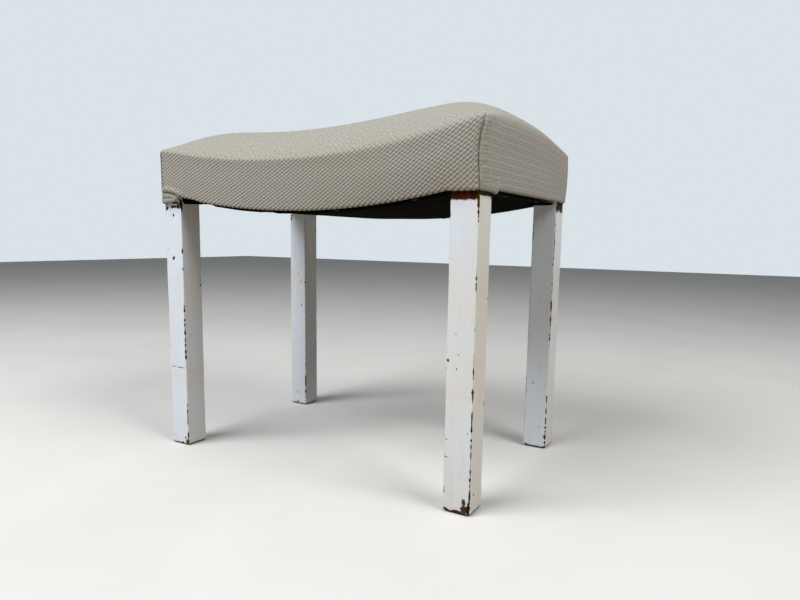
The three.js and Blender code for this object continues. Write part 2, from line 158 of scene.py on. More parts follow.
class Shading:
    """The nodes of a material or of the world."""

    def __init__(self, tree):
        self.tree = tree

    def node(self, kind, settings=None, inputs=None, output=0):
        made = self.tree.nodes.new("ShaderNode" + kind)
        for name, value in (settings or {}).items():
            setattr(made, name, value)
        for name, value in (inputs or {}).items():
            self.feed(made.inputs[name], value)
        if output == "all":
            return [Tone(self, socket) for socket in made.outputs]
        return Tone(self, made.outputs[output])

    def feed(self, socket, value):
        if isinstance(value, Tone):
            self.tree.links.new(value.socket, socket)
        elif socket.type == "RGBA" and len(value) == 3:
            socket.default_value = (*value, 1)
        else:
            socket.default_value = value

    def seen(self):
        """1 for what the camera sees, straight or mirrored, and 0 for light thrown about."""
        return self.node("LightPath", output="Is Camera Ray").highest(
            self.node("LightPath", output="Is Glossy Ray"))


class Finish(Shading):
    """A material."""

    def __init__(self, name, **fixed):
        self.material = bpy.data.materials.new(name)
        self.material.use_nodes = True
        super().__init__(self.material.node_tree)
        self.shader = self.tree.nodes["Principled BSDF"]
        self.finish_with(**fixed)

    def place(self):
        return self.node("TexCoord", output="Object")

    def sheet_place(self):
        return self.node("UVMap", {"uv_map": "sheet"})

    def attribute(self, name):
        return self.node("Attribute", {"attribute_name": name}, output="Fac")

    def parts(self, vector):
        return self.node("SeparateXYZ", {}, {0: vector}, output="all")

    def grain(self, vector, scale, detail=4.0, roughness=0.6):
        """Noise, drawn out where the scale is given for each direction."""
        if isinstance(scale, tuple):
            vector, scale = self.node("Mapping", {}, {"Vector": vector, "Scale": scale}), 1.0
        return self.node("TexNoise", {}, {
            "Vector": vector, "Scale": scale, "Detail": detail, "Roughness": roughness})

    def between(self, value, low, high, at_low=0.0, at_high=1.0):
        return self.node("MapRange", {"interpolation_type": "SMOOTHSTEP"}, {
            "Value": value, "From Min": low, "From Max": high,
            "To Min": at_low, "To Max": at_high})

    def mix(self, share, first, second, blend="MIX"):
        return self.node("Mix", {"data_type": "RGBA", "blend_type": blend}, {
            0: share, 6: first, 7: second}, output=2)

    def layered(self, colour, *layers):
        """Lays tints over a colour, each where a value rises, and up to a share."""
        for value, low, high, share, tint in layers:
            colour = self.mix(self.between(value, low, high, 0.0, share), colour, tint)
        return colour

    def bump(self, height, distance, strength=1.0):
        return self.node("Bump", {}, {
            "Height": height, "Distance": distance, "Strength": strength})

    def finish_with(self, **inputs):
        for socket, value in inputs.items():
            self.feed(self.shader.inputs[socket.replace("_", " ")], value)
        return self.material


# ---- Finishes ----
def bobble_weave():
    """Beige-grey bobble weave: round bobbles in slanting rows, and painted shade between the rows.
    """
    made = Finish("bobble_weave", Sheen_Weight=0.25, Sheen_Roughness=0.6, Specular_IOR_Level=0.25)
    sheet = made.sheet_place()
    along, across, _ = made.parts(sheet)
    turn = along * (2 * pi / (bobble_length * MM))
    lift = across * (2 * pi / (bobble_depth * MM))
    ribbed = made.attribute("ribbed")
    rubbed_and_lit = made.attribute("rubbed_and_lit")
    seam = made.attribute("seam")
    falling, rising, double = (turn - lift).cosine(), (turn + lift).cosine(), (turn + turn).cosine()
    slants = 0.68 * falling + 0.36 * rising + 0.12 * double
    ribs = 0.26 * turn.cosine() + 0.33 * double + 0.15 * falling + 0.15 * rising
    dash = made.grain(sheet, (480, 220, 1), 2)
    bobble = slants + ribbed * (ribs - slants)
    fibre = made.grain(sheet, 2600, 3)
    speck = made.grain(sheet, 480, 2, 0.7)
    slub = made.grain(sheet, (90, 420, 1), 3)
    soil = made.grain(made.place(), 9, 3)
    # Light on the bobbles and dark between them: the dark is painted shade in the pits
    high = made.between(bobble + 0.35 * fibre, -0.75, 0.75)
    # Where the nap is rubbed flat and where the top is lit, the painted shade between the bobbles
    # is left off and the weave is drawn a little lighter: wear, and painted light
    high = high + rubbed_and_lit * (0.6 + 2.4 * (speck - 0.5) - high) * 0.9
    # On the ends the weave follows the ribs and is drawn lighter: painted light on the end faces
    high = high + ribbed * ((0.9 - high) * 0.45 + 1.5 * (dash - 0.5))
    raised = made.mix(rubbed_and_lit, (0.435, 0.416, 0.364), (0.434, 0.425, 0.362))
    # The last layer is painted shade from the seam mark: along the seams, down the left end's
    # corner and under the loose fold
    colour = made.layered(
        made.mix(high, (0.095, 0.085, 0.069), raised),
        (fibre, 0.35, 0.75, 0.3, (0.50, 0.485, 0.435)),
        (slub, 0.42, 0.7, 0.25, (0.32, 0.29, 0.24)),
        (soil, 0.45, 0.72, 0.14, (0.31, 0.265, 0.205)),
        (seam + 0.3 * (fibre - 0.5), 0.58, 0.98, 0.86, (0.03, 0.025, 0.02)))
    thread = (across * (2 * pi / (thread_pitch * MM)) + 1.5 * bobble).cosine()
    height = 0.35 * bobble + 0.1 * thread + 0.3 * fibre
    return made.finish_with(
        Base_Color=colour,
        Roughness=made.between(fibre, 0.3, 0.7, 0.82, 0.96),
        Normal=made.bump(height, 0.0006, 0.8))


def leg_paint():
    """Old off-white gloss over dark wood: brush streaks, yellowing, painted light, and chips where
    it is worn.
    """
    made = Finish("old_gloss_paint", Specular_IOR_Level=0.05, Coat_Roughness=0.22)
    place = made.place()
    ragged = made.grain(place, 420, 5, 0.7)
    fine = made.grain(place, 1900, 3)
    worn = made.attribute("worn") + 0.8 * (ragged - 0.5) + 0.3 * (fine - 0.5)
    bare = made.between(worn, 0.47, 0.53)
    # A darker rim round each chip: painted shade under the edge of the paint
    chip_edge_shade = made.between(worn, 0.36, 0.5) * (1 - bare)
    streak = made.grain(place, (620, 620, 12), 6, 0.75)
    cloud = made.grain(place, 14, 3)
    smear = made.grain(place, (110, 110, 22), 5, 0.65)
    # Grime, and painted shade at the leg's top under the hem
    grime_and_hem_shade = made.attribute("grime_and_hem_shade") + 0.3 * (ragged - 0.5)
    # A cool white and a warm cream: yellowed paint, and painted light, cool where the window light
    # falls and warm as lit from the floor
    paint = made.layered(
        made.mix(made.attribute("yellowing_and_light_tint"), (0.79, 0.872, 0.975), (0.825, 0.795, 0.71)),
        (streak, 0.34, 0.66, 0.09, (0.30, 0.30, 0.29)),
        (cloud, 0.4, 0.72, 0.22, (0.74, 0.72, 0.65)),
        (smear, 0.56, 0.78, 0.32, (0.50, 0.505, 0.50)),
        (grime_and_hem_shade, 0.1, 1.0, 0.75, (0.30, 0.285, 0.27)))
    # Painted shade round the chips
    paint = made.mix(chip_edge_shade * 0.6, paint, (0.36, 0.29, 0.20))
    ring = made.grain(place, (260, 260, 9), 5)
    grown = made.between(ring, 0.35, 0.68)
    wood = made.mix(grown, (0.024, 0.0055, 0.0025), (0.078, 0.019, 0.0065))
    golden = made.mix(grown, (0.034, 0.018, 0.006), (0.125, 0.062, 0.014))
    primed = made.mix(grown, (0.045, 0.035, 0.032), (0.085, 0.068, 0.064))
    wood = made.mix(made.attribute("golden"), wood, golden)
    wood = made.mix(made.attribute("undercoat"), wood, primed)
    wood = made.mix(made.attribute("tarred"), wood, (0.014, 0.012, 0.009))
    height = (1 - bare) * (0.5 + 0.12 * streak) + bare * 0.25 * ring
    return made.finish_with(
        Base_Color=made.mix(bare, paint, wood),
        Coat_Weight=made.between(bare, 0.0, 1.0, 0.55, 0.0),
        Roughness=made.between(bare + 0.25 * (streak - 0.5), 0.0, 1.0, 0.38, 0.8),
        Normal=made.bump(height, 0.0005, 0.9))


def planed_wood(name, dark, light, roughness, along_y=False):
    """Plain planed timber with grain along the piece."""
    made = Finish(name, Specular_IOR_Level=0.3)
    place = made.place()
    wander = made.grain(place, 7, 2)
    wide, fine = (7, 160, 160), (60, 1500, 1500)
    if along_y:
        wide, fine = (160, 7, 160), (1500, 60, 1500)
    ring, pore = made.grain(place, wide, 5, 0.55), made.grain(place, fine, 2)
    colour = made.mix(made.between(ring + 0.2 * wander, 0.4, 0.75), dark, light)
    return made.finish_with(
        Base_Color=made.layered(colour, (pore, 0.6, 0.75, 0.4, dark)),
        Roughness=made.between(pore, 0.3, 0.7, roughness, roughness + 0.12),
        Normal=made.bump(ring + 0.5 * pore, 0.0002, 0.5))


def plain_weave(name, pitches, dark, light, roughness, depth, shine=0.2, striped=False):
    """A plain weave with its threads at two pitches in millimetres.

    A striped one lies on the cloth's own places, with a dark stripe near both edges. Another lies
    on the stool's, and is dusty.
    """
    made = Finish(name, Specular_IOR_Level=shine)
    place = made.sheet_place() if striped else made.place()
    along, across, _ = made.parts(place)
    warp, weft = ((way * (pi / (step * MM))).cosine()
                  for way, step in zip((along, across), pitches))
    wave = warp * weft
    slub = made.grain(place, (260, 900, 1 if striped else 260))
    if striped:
        stripe = (across * (2 * pi / (stripes_apart * MM))).cosine()
        layer = (0 - stripe, 0.86, 0.93, 0.75, (0.10, 0.045, 0.03))
    else:
        layer = (made.grain(place, 40), 0.5, 0.8, 0.35, light)
    colour = made.mix(made.between(wave + 0.8 * slub, -0.3, 1.1), dark, light)
    return made.finish_with(
        Base_Color=made.layered(colour, layer),
        Roughness=made.between(slub, 0.3, 0.7, *roughness),
        Normal=made.bump(wave + slub, depth, 0.7))


def loose_fibre(name, dark, light, scale, depth):
    """Matted fibre, as in wadding and stuffing."""
    made = Finish(name, Specular_IOR_Level=0.15)
    place = made.place()
    tuft = made.grain(place, scale, 6, 0.7)
    hair = made.grain(place, (300, 1100, 500), 5, 0.7)
    colour = made.mix(made.between(0.6 * tuft + 0.4 * hair, 0.38, 0.62), dark, light)
    return made.finish_with(
        Base_Color=colour,
        Roughness=made.between(hair, 0.3, 0.7, 0.9, 1.0),
        Normal=made.bump(tuft + 0.6 * hair, depth, 0.9))


def hard_metal(name, dark, light, low, high):
    """Screw steel or blued tacks, lightly tarnished."""
    made = Finish(name, Metallic=1.0)
    place = made.place()
    spot = made.grain(place, 700, 4)
    fine = made.grain(place, 3000, 2)
    return made.finish_with(
        Base_Color=made.mix(made.between(spot, 0.4, 0.7), light, dark),
        Roughness=made.between(spot + 0.3 * fine, 0.4, 0.9, low, high),
        Normal=made.bump(fine, 0.00005, 0.4))


beech = (0.33, 0.19, 0.09), (0.55, 0.36, 0.19), 0.6
birch = (0.50, 0.35, 0.20), (0.66, 0.50, 0.32), 0.62
finishes = {
    "seat_fabric": bobble_weave(),
    "leg_paint": leg_paint(),
    "frame_wood": planed_wood("beech_rails", *beech),
    "beech_cross": planed_wood("beech_end_rails", *beech, along_y=True),
    "birch_cross": planed_wood("birch_end_dowels", *birch, along_y=True),
    "dowel_wood": planed_wood("birch_dowels", *birch),
    # Black cloth, drawn darker than real black cloth: painted shade, as it lies in deep shade under
    # the seat
    "black_cloth": plain_weave("black_lining_cloth", (0.9, 0.9), (0.001, 0.001, 0.0008),
                               (0.0038, 0.0035, 0.003), (0.9, 0.98), 0.0002, shine=0.01),
    "hessian": plain_weave("hessian_cloth", (1.8, 1.8), (0.12, 0.075, 0.035),
                           (0.42, 0.31, 0.18), (0.9, 0.98), 0.0006),
    "jute_webbing": plain_weave("jute_webbing", (1.8, 2.2), (0.14, 0.085, 0.04),
                                (0.46, 0.32, 0.17), (0.88, 0.97), 0.0008, striped=True),
    "cotton_wadding": loose_fibre("cotton_wadding", (0.62, 0.60, 0.54),
                                  (0.80, 0.78, 0.73), 160, 0.0012),
    "fibre_stuffing": loose_fibre("curled_fibre", (0.05, 0.03, 0.015),
                                  (0.20, 0.13, 0.07), 220, 0.002),
    "screw_steel": hard_metal("screw_steel", (0.30, 0.29, 0.27), (0.56, 0.55, 0.53), 0.28, 0.5),
    "blued_steel": hard_metal("blued_steel", (0.008, 0.008, 0.010),
                              (0.022, 0.023, 0.028), 0.5, 0.75),
}


# ---- Making pieces ----
def linked(name, data):
    """An object of a mesh, camera or lamp, put into the scene."""
    made = bpy.data.objects.new(name, data)
    bpy.context.collection.objects.link(made)
    return made


def finished(name, mesh, slot, nodes):
    """Puts a finished mesh into the scene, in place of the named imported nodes."""
    mesh.polygons.foreach_set("use_smooth", [True] * len(mesh.polygons))
    mesh.materials.append(finishes[slot])
    made = linked(name, mesh)
    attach(made, "root")
    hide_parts(*nodes)
    return made


def mesh_from(shape, name):
    """A mesh from a bmesh, which is freed."""
    mesh = bpy.data.meshes.new(name)
    shape.to_mesh(mesh)
    shape.free()
    return mesh


def places_of(mesh):
    places = np.empty(len(mesh.vertices) * 3)
    mesh.vertices.foreach_get("co", places)
    return places.reshape(-1, 3)


def set_places(mesh, places):
    mesh.vertices.foreach_set("co", np.ascontiguousarray(places, float).ravel())
    mesh.update()


def normals_of(mesh):
    normals = np.empty(len(mesh.vertices) * 3)
    mesh.vertex_normals.foreach_get("vector", normals)
    return normals.reshape(-1, 3)


def skin_moved(mesh, moved):
    """Moves a mesh's vertices along their normals, and turns it into metres."""
    set_places(mesh, places_of(mesh) + normals_of(mesh) * moved[:, None])
    mesh.transform(Matrix.Scale(MM, 4))


def add_sheet_map(mesh, along, across):
    """Lays the cloth's own places, in metres, over a mesh as a UV map."""
    layer = mesh.uv_layers.new(name="sheet")
    corners = np.empty(len(mesh.loops), int)
    mesh.loops.foreach_get("vertex_index", corners)
    layer.uv.foreach_set("vector", (np.stack([along, across], axis=1)[corners] * MM).ravel())


def add_mark(mesh, name, values):
    """Stores a value at each vertex for the finish to read."""
    mark = mesh.attributes.new(name, "FLOAT", "POINT")
    values = np.broadcast_to(np.asarray(values, float), len(mesh.vertices))
    mark.data.foreach_set("value", np.ascontiguousarray(values))


def even_grid(count_x, count_y, arm_x=None, arm_y=None):
    """A flat grid of unit cells round the middle. Half widths of arms cut it to a cross."""
    shape = bmesh.new()
    bmesh.ops.create_grid(shape, x_segments=count_x, y_segments=count_y, size=0.5)
    bmesh.ops.scale(shape, vec=(count_x, count_y, 1), verts=shape.verts)
    if arm_x:
        middles = [(face, face.calc_center_median()) for face in shape.faces]
        cut = [face for face, at in middles if abs(at.x) > arm_x and abs(at.y) > arm_y]
        bmesh.ops.delete(shape, geom=cut, context="FACES")
    return shape


def two_sided(shape, name):
    """Gives a flat grid a second side. Returns its mesh, flat places and which are above."""
    bmesh.ops.solidify(shape, geom=shape.faces[:], thickness=0.25)
    mesh = mesh_from(shape, name)
    flat = places_of(mesh)
    return mesh, flat, flat[:, 2] > (flat[:, 2].max() + flat[:, 2].min()) / 2


def lines_from_middle(lines):
    """Grid lines on both sides of the middle, from those on one side."""
    return np.array([-line for line in reversed(lines)] + [0.0] + list(lines))


def cells_from(low, reach, count):
    """The far sides of equal cells that reach on from a place."""
    return [low + reach * (i + 1) / count for i in range(count)]


def on_lines(flat, lines_x, lines_y):
    """Places in millimetres from places on the unit grid round the middle."""
    index_x = np.arange(len(lines_x)) - (len(lines_x) - 1) / 2
    index_y = np.arange(len(lines_y)) - (len(lines_y) - 1) / 2
    return np.interp(flat[:, 0], index_x, lines_x), np.interp(flat[:, 1], index_y, lines_y)


def read_between(table, i, j, a, b):
    """A table's values a share a and b of the way on from the entries i and j."""
    return ((1 - a) * (1 - b) * table[i, j] + a * (1 - b) * table[i + 1, j]
            + (1 - a) * b * table[i, j + 1] + a * b * table[i + 1, j + 1])


def value_noise(x, y, seed, cell):
    """Soft seeded unevenness between -1 and 1 over a plane."""
    table = np.random.default_rng(seed).uniform(-1, 1, (97, 97))
    px, py = np.asarray(x) / cell + 48.0, np.asarray(y) / cell + 48.0
    i, j = np.floor(px).astype(int), np.floor(py).astype(int)
    a, b = smooth_step(px - i, 0, 1), smooth_step(py - j, 0, 1)
    return read_between(table, i % 96, j % 96, a, b)


# ---- The seat's cover ----
end_drop = 72.0
side_drop = 62.0
turn_under = 15.0
fold_in = 3.3

# Corner radius, and the seam's angle round the corner at the crease, a quarter and two thirds of
# the way down and at the hem, for the corners at (-X, -Y), (+X, -Y), (-X, +Y), (+X, +Y)
corner_radius = {(-1, -1): 10.0, (1, -1): 9.0, (-1, 1): 14.0, (1, 1): 19.0}
seam_stations = (0.0, 0.25, 0.65, 1.0)
seam_angle = {(-1, -1): (4, 3, 3, 8), (1, -1): (50, 23, 24, 36),
              (-1, 1): (45, 40, 42, 45), (1, 1): (70, 77, 77, 70)}

# The loose fold over the left front leg: heights along it
fold_stations = (193.6, 205.7, 215.5, 226.7)
fold_heights = (348.6, 353.0, 355.2, 356.4)

# How far the front hem lies from its even line near the left front leg
hem_stations = (160, 184, 201.5, 203.8, 213, 230, 239)
hem_moves = (0.3, 3.1, 3.6, -0.8, -2.0, -1.3, -0.6)

# The front and back creases are crisp on the left and rolled on the right
crease_stations = (-200, 0, 120, 238)
crease_eases = (0.8, 1.5, 4.0, 4.8)

# How the used seat departs from an even one, as powers of the share along or across it
edge_shifts = (0.2, 3.6, 0.1, -0.3)
crown_shifts = (-1.2, 5.6, -5.6, -4.4, 2.7)
right_arch_shifts = (5.9, -3.9, -7.6)


def powers(shares, value):
    """A sum of powers of a value."""
    return sum(share * value**power for power, share in enumerate(shares))


def seat_height(x, y):
    """The height of the seat's outside over a place in plan."""
    s = np.clip(x / cover_half_length, -1, 1)
    t = np.clip(y / cover_half_depth, -1, 1)
    edge = hem_height + front_rise + dish_rise * s**2 + powers(edge_shifts, s)
    arch = np.where(s > 0, powers(right_arch_shifts, t), end_arch * (1 - t**2)) * s**6
    crown = (crown_height * (1 - np.abs(s)**7.5) + powers(crown_shifts, s)) * (
        1 - np.abs(t)**powers(crown_powers, s))
    return edge + arch + crown - 2.2 * bump_at(s, -1, 0.06) * bump_at(t, -1, 0.11)


def drops_of(along, across):
    """The share of the end drop and of the side drop passed: 1 at the hem, below 0 on the top."""
    return ((np.abs(along) - cover_half_length) / end_drop,
            (np.abs(across) - cover_half_depth) / side_drop)


def at_corner(x, y, sign_x, sign_y):
    return (np.where(x < 0, -1, 1) == sign_x) & (np.where(y < 0, -1, 1) == sign_y)


def corner_radii(x, y):
    """The plan radius of the corner that each place belongs to."""
    radius = np.empty(np.shape(x))
    for corner, entry in corner_radius.items():
        radius[at_corner(x, y, *corner)] = entry
    return radius


def seam_angles(x, y, down):
    """Where round its corner the seam lies, at each place's height."""
    angle = np.empty(np.shape(x))
    for corner, entries in seam_angle.items():
        here = at_corner(x, y, *corner)
        angle[here] = np.interp(down[here], seam_stations, entries)
    return np.radians(angle)


class SheetPlaces:
    """Places on the cover's sheet, measured from its middle: where on the stool each one lies."""

    def __init__(self, along, across):
        reach_x, reach_y = np.abs(along), np.abs(across)
        self.sign_x, self.sign_y = np.where(along < 0, -1.0, 1.0), np.where(across < 0, -1.0, 1.0)
        self.x = np.minimum(reach_x, cover_half_length)
        self.y = np.minimum(reach_y, cover_half_depth)
        down_end, down_side = (np.clip(share, 0, 1) for share in drops_of(along, across))
        self.down = np.maximum(down_end, down_side)
        self.on_end, self.on_side = down_end > down_side, down_side > 0
        self.under = np.maximum(np.maximum(reach_x - cover_half_length - end_drop, 0),
                                np.maximum(reach_y - cover_half_depth - side_drop, 0))
        self.over_leg = np.where(self.on_end, self.y > half_end_span - 0.3,
                                 self.x > half_span - 0.3)
        self.front_left = (self.sign_x < 0) & (self.sign_y < 0)
        self.front_right = (self.sign_x > 0) & (self.sign_y < 0)
        self.back_right = (self.sign_x > 0) & (self.sign_y > 0)


def corner_plan(at):
    """Each corner's radius, how far out and at which angle places lie on it, and which ones do.

    The two flaps share the corner up to their seam.
    """
    radius = corner_radii(at.sign_x, at.sign_y)
    seam = seam_angles(at.sign_x, at.sign_y, at.down)
    over_x = (at.x - (cover_half_length - radius)) / radius
    over_y = (at.y - (cover_half_depth - radius)) / radius
    ratio_x = np.clip(over_x / np.maximum(over_y, 1e-6), 0, 1)
    ratio_y = np.clip(over_y / np.maximum(over_x, 1e-6), 0, 1)
    from_front = (over_y >= over_x) & ~at.on_end | at.on_side
    angle = np.where(from_front, seam * ratio_x, pi / 2 - (pi / 2 - seam) * ratio_y)
    reach = radius * np.clip(np.maximum(over_x, over_y), 0, 1)
    return radius, reach, angle, (over_x > 0) & (over_y > 0)


def cover_height(at, inset, flap):
    """The height, down to the hem, which slips down at the left front leg, and back up inside."""
    slipped = np.where(at.on_end, np.interp(at.y, (116, 132, 152), (0, 4, 8)),
                       np.interp(at.x, (170, 239), (0, 8)))
    hem = hem_height - np.where(at.on_end, 0, dish_at(at.x)) - at.front_left * slipped
    local = np.where(at.over_leg, np.where(at.back_right, 1.2, -1.0),
                     np.where(at.on_end, 1.8, 0.0))
    local = np.where(at.front_left & ~at.on_end, np.interp(at.x, hem_stations, hem_moves), local)
    local = (local - 4.2 * flap) * smooth_step(at.down, 0.72, 1.0)
    edge = seat_height(at.sign_x * at.x, at.sign_y * at.y) - inset
    folded_up = at.over_leg * np.clip((at.under - fold_in) * 0.45, 0, None)
    return edge + (hem - edge) * at.down + local + folded_up


def stand_out(at, height, inset, flap, with_seams):
    """How far a side stands out: its swell, the seam's groove and lip, the puckers beside the
    right front seam, the loose fold over the left front leg and the flap over the right one."""
    rise, on_drop = 1 - at.down, at.down > 0
    loose = np.interp(at.sign_x * at.x, (-200, 0, 190), (0.05, 0.3, 1.0))
    loose = loose * np.where(at.on_end, 0.2, 1.0)
    full = side_swell * (1 - (rise / 0.62 - 1) ** 2)
    taut = 0.4 + 0.7 * bump_at(rise, 1.02, 0.18)
    from_seam = np.where(at.on_end, cover_half_depth - at.y, cover_half_length - at.x)
    groove = 0.6 + 0.8 * at.front_right * bump_at(at.down, 0.03, 0.035)
    groove = groove * bump_at(from_seam, 0, 1.2)
    lip = np.where(at.on_end, -0.4, 0.7) * bump_at(from_seam, 3.4, 2.2)
    pucker = at.front_right * np.where(at.on_end, 0.9, 1.3) * np.exp(-from_seam / 4.5) * np.sin(
        height * 0.85 + 1.4 * np.sin(height * 0.21) + 1.7 * at.on_end)
    pucker = pucker * smooth_step(from_seam, 0, 2)
    fold_line = np.interp(at.x, fold_stations, fold_heights)
    fold = sum(out * bump_at(height, middle, width) for out, middle, width in (
        (2.6, fold_line + 3.0, 2.8), (-1.8, fold_line - 1.0, 1.8), (1.5, fold_line - 4.6, 2.0),
        (-0.8, 348.2, 1.4), (1.2, 344.6, 2.2)))
    fold = at.front_left * ~at.on_end * smooth_step(at.x, 190, 198) * fold
    sewn = with_seams * (lip - groove + pucker + fold)
    return ((taut + loose * (full - taut)) * on_drop - inset
            + sewn * smooth_step(at.down, 0.0, 0.12) * on_drop
            + 2.8 * flap * bump_at(at.down, 0.95, 0.07))


def sharp_cover(along, across, inset, with_seams):
    """The cover before its creases are rounded, at places on its sheet."""
    at = SheetPlaces(along, across)
    flap = with_seams * at.front_right * at.on_end * bump_at(at.y, half_end_span + 1.5, 2.8)
    height = cover_height(at, inset, flap)
    radius, reach, angle, in_corner = corner_plan(at)

    # Over the legs the hem is folded back up inside, elsewhere it is turned under the rail
    out = stand_out(at, height, inset, flap, with_seams) - np.where(
        at.over_leg, np.minimum(at.under, fold_in), at.under)
    on_drop = at.down > 0
    from_middle = reach + np.where(on_drop, out, -inset)
    x = np.where(in_corner, cover_half_length - radius + from_middle * np.sin(angle),
                 at.x + np.where(at.on_end & on_drop, out, 0))
    y = np.where(in_corner, cover_half_depth - radius + from_middle * np.cos(angle),
                 at.y + np.where(~at.on_end & on_drop, out, 0))

    # The pad rolls out over the right end, most at the front
    roll = (at.sign_x > 0) * smooth_step(at.x, cover_half_length - 60, cover_half_length) * (
        2.8 - 2.6 * smooth_step(at.sign_y * at.y, 0, 150))
    roll = roll * smooth_step(1 - at.down, 0.5, 0.95)
    return np.stack([at.sign_x * x + roll, at.sign_y * y, height], axis=-1)


def eased_cover(along, across, inset, with_seams):
    """The cover with its creases and hems eased, by averages over a few millimetres of sheet."""
    reach_x, reach_y = np.abs(along), np.abs(across)
    down_end, down_side = (np.clip(share, 0, 1) for share in drops_of(along, across))
    ease_x = 8.0 - 6.6 * smooth_step(down_end, 0.3, 0.8)
    at_crease = np.interp(along, crease_stations, crease_eases)
    ease_y = at_crease + (1.4 - at_crease) * smooth_step(down_side, 0.3, 0.8)
    by_side = 8.0 - 6.8 * smooth_step(down_side, 0, 0.3)
    by_side = np.minimum(by_side, np.abs(cover_half_length - reach_x))
    ease_x = np.where(down_side > 0, by_side, ease_x)
    ease_y = np.where(down_end > 0, np.minimum(ease_y, np.abs(cover_half_depth - reach_y)), ease_y)
    shares = np.array([-1.0, -0.5, 0.0, 0.5, 1.0])
    weights = np.array([1.0, 4.0, 6.0, 4.0, 1.0]) / 16
    total = 0
    for share_x, weight_x in zip(shares, weights):
        for share_y, weight_y in zip(shares, weights):
            total = total + weight_x * weight_y * sharp_cover(
                along + share_x * ease_x, across + share_y * ease_y, inset, with_seams)
    return total


def rounded_cover(along, across, inset=0.0, with_seams=1.0):
    """The eased cover, its side and end flaps drawn together at the corner seams."""
    place = eased_cover(along, across, inset, with_seams)
    past_x, past_y = np.abs(along) - cover_half_length, np.abs(across) - cover_half_depth
    on_end, on_side = past_x > 0, past_y > 0
    near = np.where(on_end, -past_y, -past_x) < 22
    flap = (on_end | on_side) & near
    x, y, past = along[flap], across[flap], np.maximum(past_x, past_y)[flap]
    end = on_end[flap]
    drop = np.where(end, end_drop, side_drop)
    down, under = np.minimum(past / drop, 1), np.maximum(past - drop, 0)
    edge_x, edge_y = np.copysign(cover_half_length, x), np.copysign(cover_half_depth, y)
    end_x = np.copysign(cover_half_length + end_drop * down + under, x)
    side_y = np.copysign(cover_half_depth + side_drop * down + under, y)
    by_side = eased_cover(edge_x, side_y, inset, with_seams)
    by_end = eased_cover(end_x, edge_y, inset, with_seams)
    from_seam = np.where(end, cover_half_depth - np.abs(y), cover_half_length - np.abs(x))
    pull = 1 - smooth_step(from_seam, 0, 20)
    own = np.where(end[:, None], by_end, by_side)
    place[flap] += pull[:, None] * ((by_side + by_end) / 2 - own)
    return place


# The cover's grid: one cell a repeat of the weave, and finer under the hem
top_x, top_y = 33, 34
leg_x, leg_y = 28, 26
under_hem = [1.6, fold_in, 8.0, turn_under]
side_lines_x = (cells_from(0, half_span, leg_x)
                + cells_from(half_span, cover_half_length - half_span, top_x - leg_x))
side_lines_y = (cells_from(0, half_end_span, leg_y)
                + cells_from(half_end_span, cover_half_depth - half_end_span, top_y - leg_y))
end_cells, side_cells = 10, 14
end_repeat = 7.1
hem_x, hem_y = top_x + end_cells, top_y + side_cells
cover_lines_x = lines_from_middle(
    side_lines_x + cells_from(cover_half_length, end_drop, end_cells)
    + [cover_half_length + end_drop + step for step in under_hem])
cover_lines_y = lines_from_middle(
    side_lines_y + cells_from(cover_half_depth, side_drop, side_cells)
    + [cover_half_depth + side_drop + step for step in under_hem])
cloth_lines_x = lines_from_middle(
    [bobble_length * (i + 1) for i in range(top_x)]
    + [bobble_length * top_x + end_repeat * (i + 1) for i in range(end_cells)]
    + [bobble_length * top_x + end_repeat * end_cells + step for step in under_hem])
cloth_lines_y = lines_from_middle(
    [bobble_depth * (i + 1) for i in range(hem_y)]
    + [bobble_depth * hem_y + step for step in under_hem])


def cross_sheet():
    """A cross-shaped grid, one unit a cell, slit beside the legs below the hem."""
    shape = even_grid(len(cover_lines_x) - 1, len(cover_lines_y) - 1, top_x, top_y)
    legs_and_hems = ((0, leg_x, 1, hem_y), (1, leg_y, 0, hem_x))

    def on_slit(edge):
        first, second = (vert.co for vert in edge.verts)
        return any(abs(abs(first[axis]) - leg) + abs(abs(second[axis]) - leg) < 0.01
                   and min(abs(first[out]), abs(second[out])) > hem - 0.01
                   for axis, leg, out, hem in legs_and_hems)

    bmesh.ops.split_edges(shape, edges=[edge for edge in shape.edges if on_slit(edge)])
    for vert in shape.verts:
        middle = sum((face.calc_center_median() for face in vert.link_faces), Vector())
        middle /= len(vert.link_faces)
        for axis, leg, out, hem in legs_and_hems:
            if abs(abs(vert.co[axis]) - leg) < 0.01 and abs(vert.co[out]) > hem + 0.01:
                vert.co[axis] += 0.04 if middle[axis] > vert.co[axis] else -0.04
    return shape


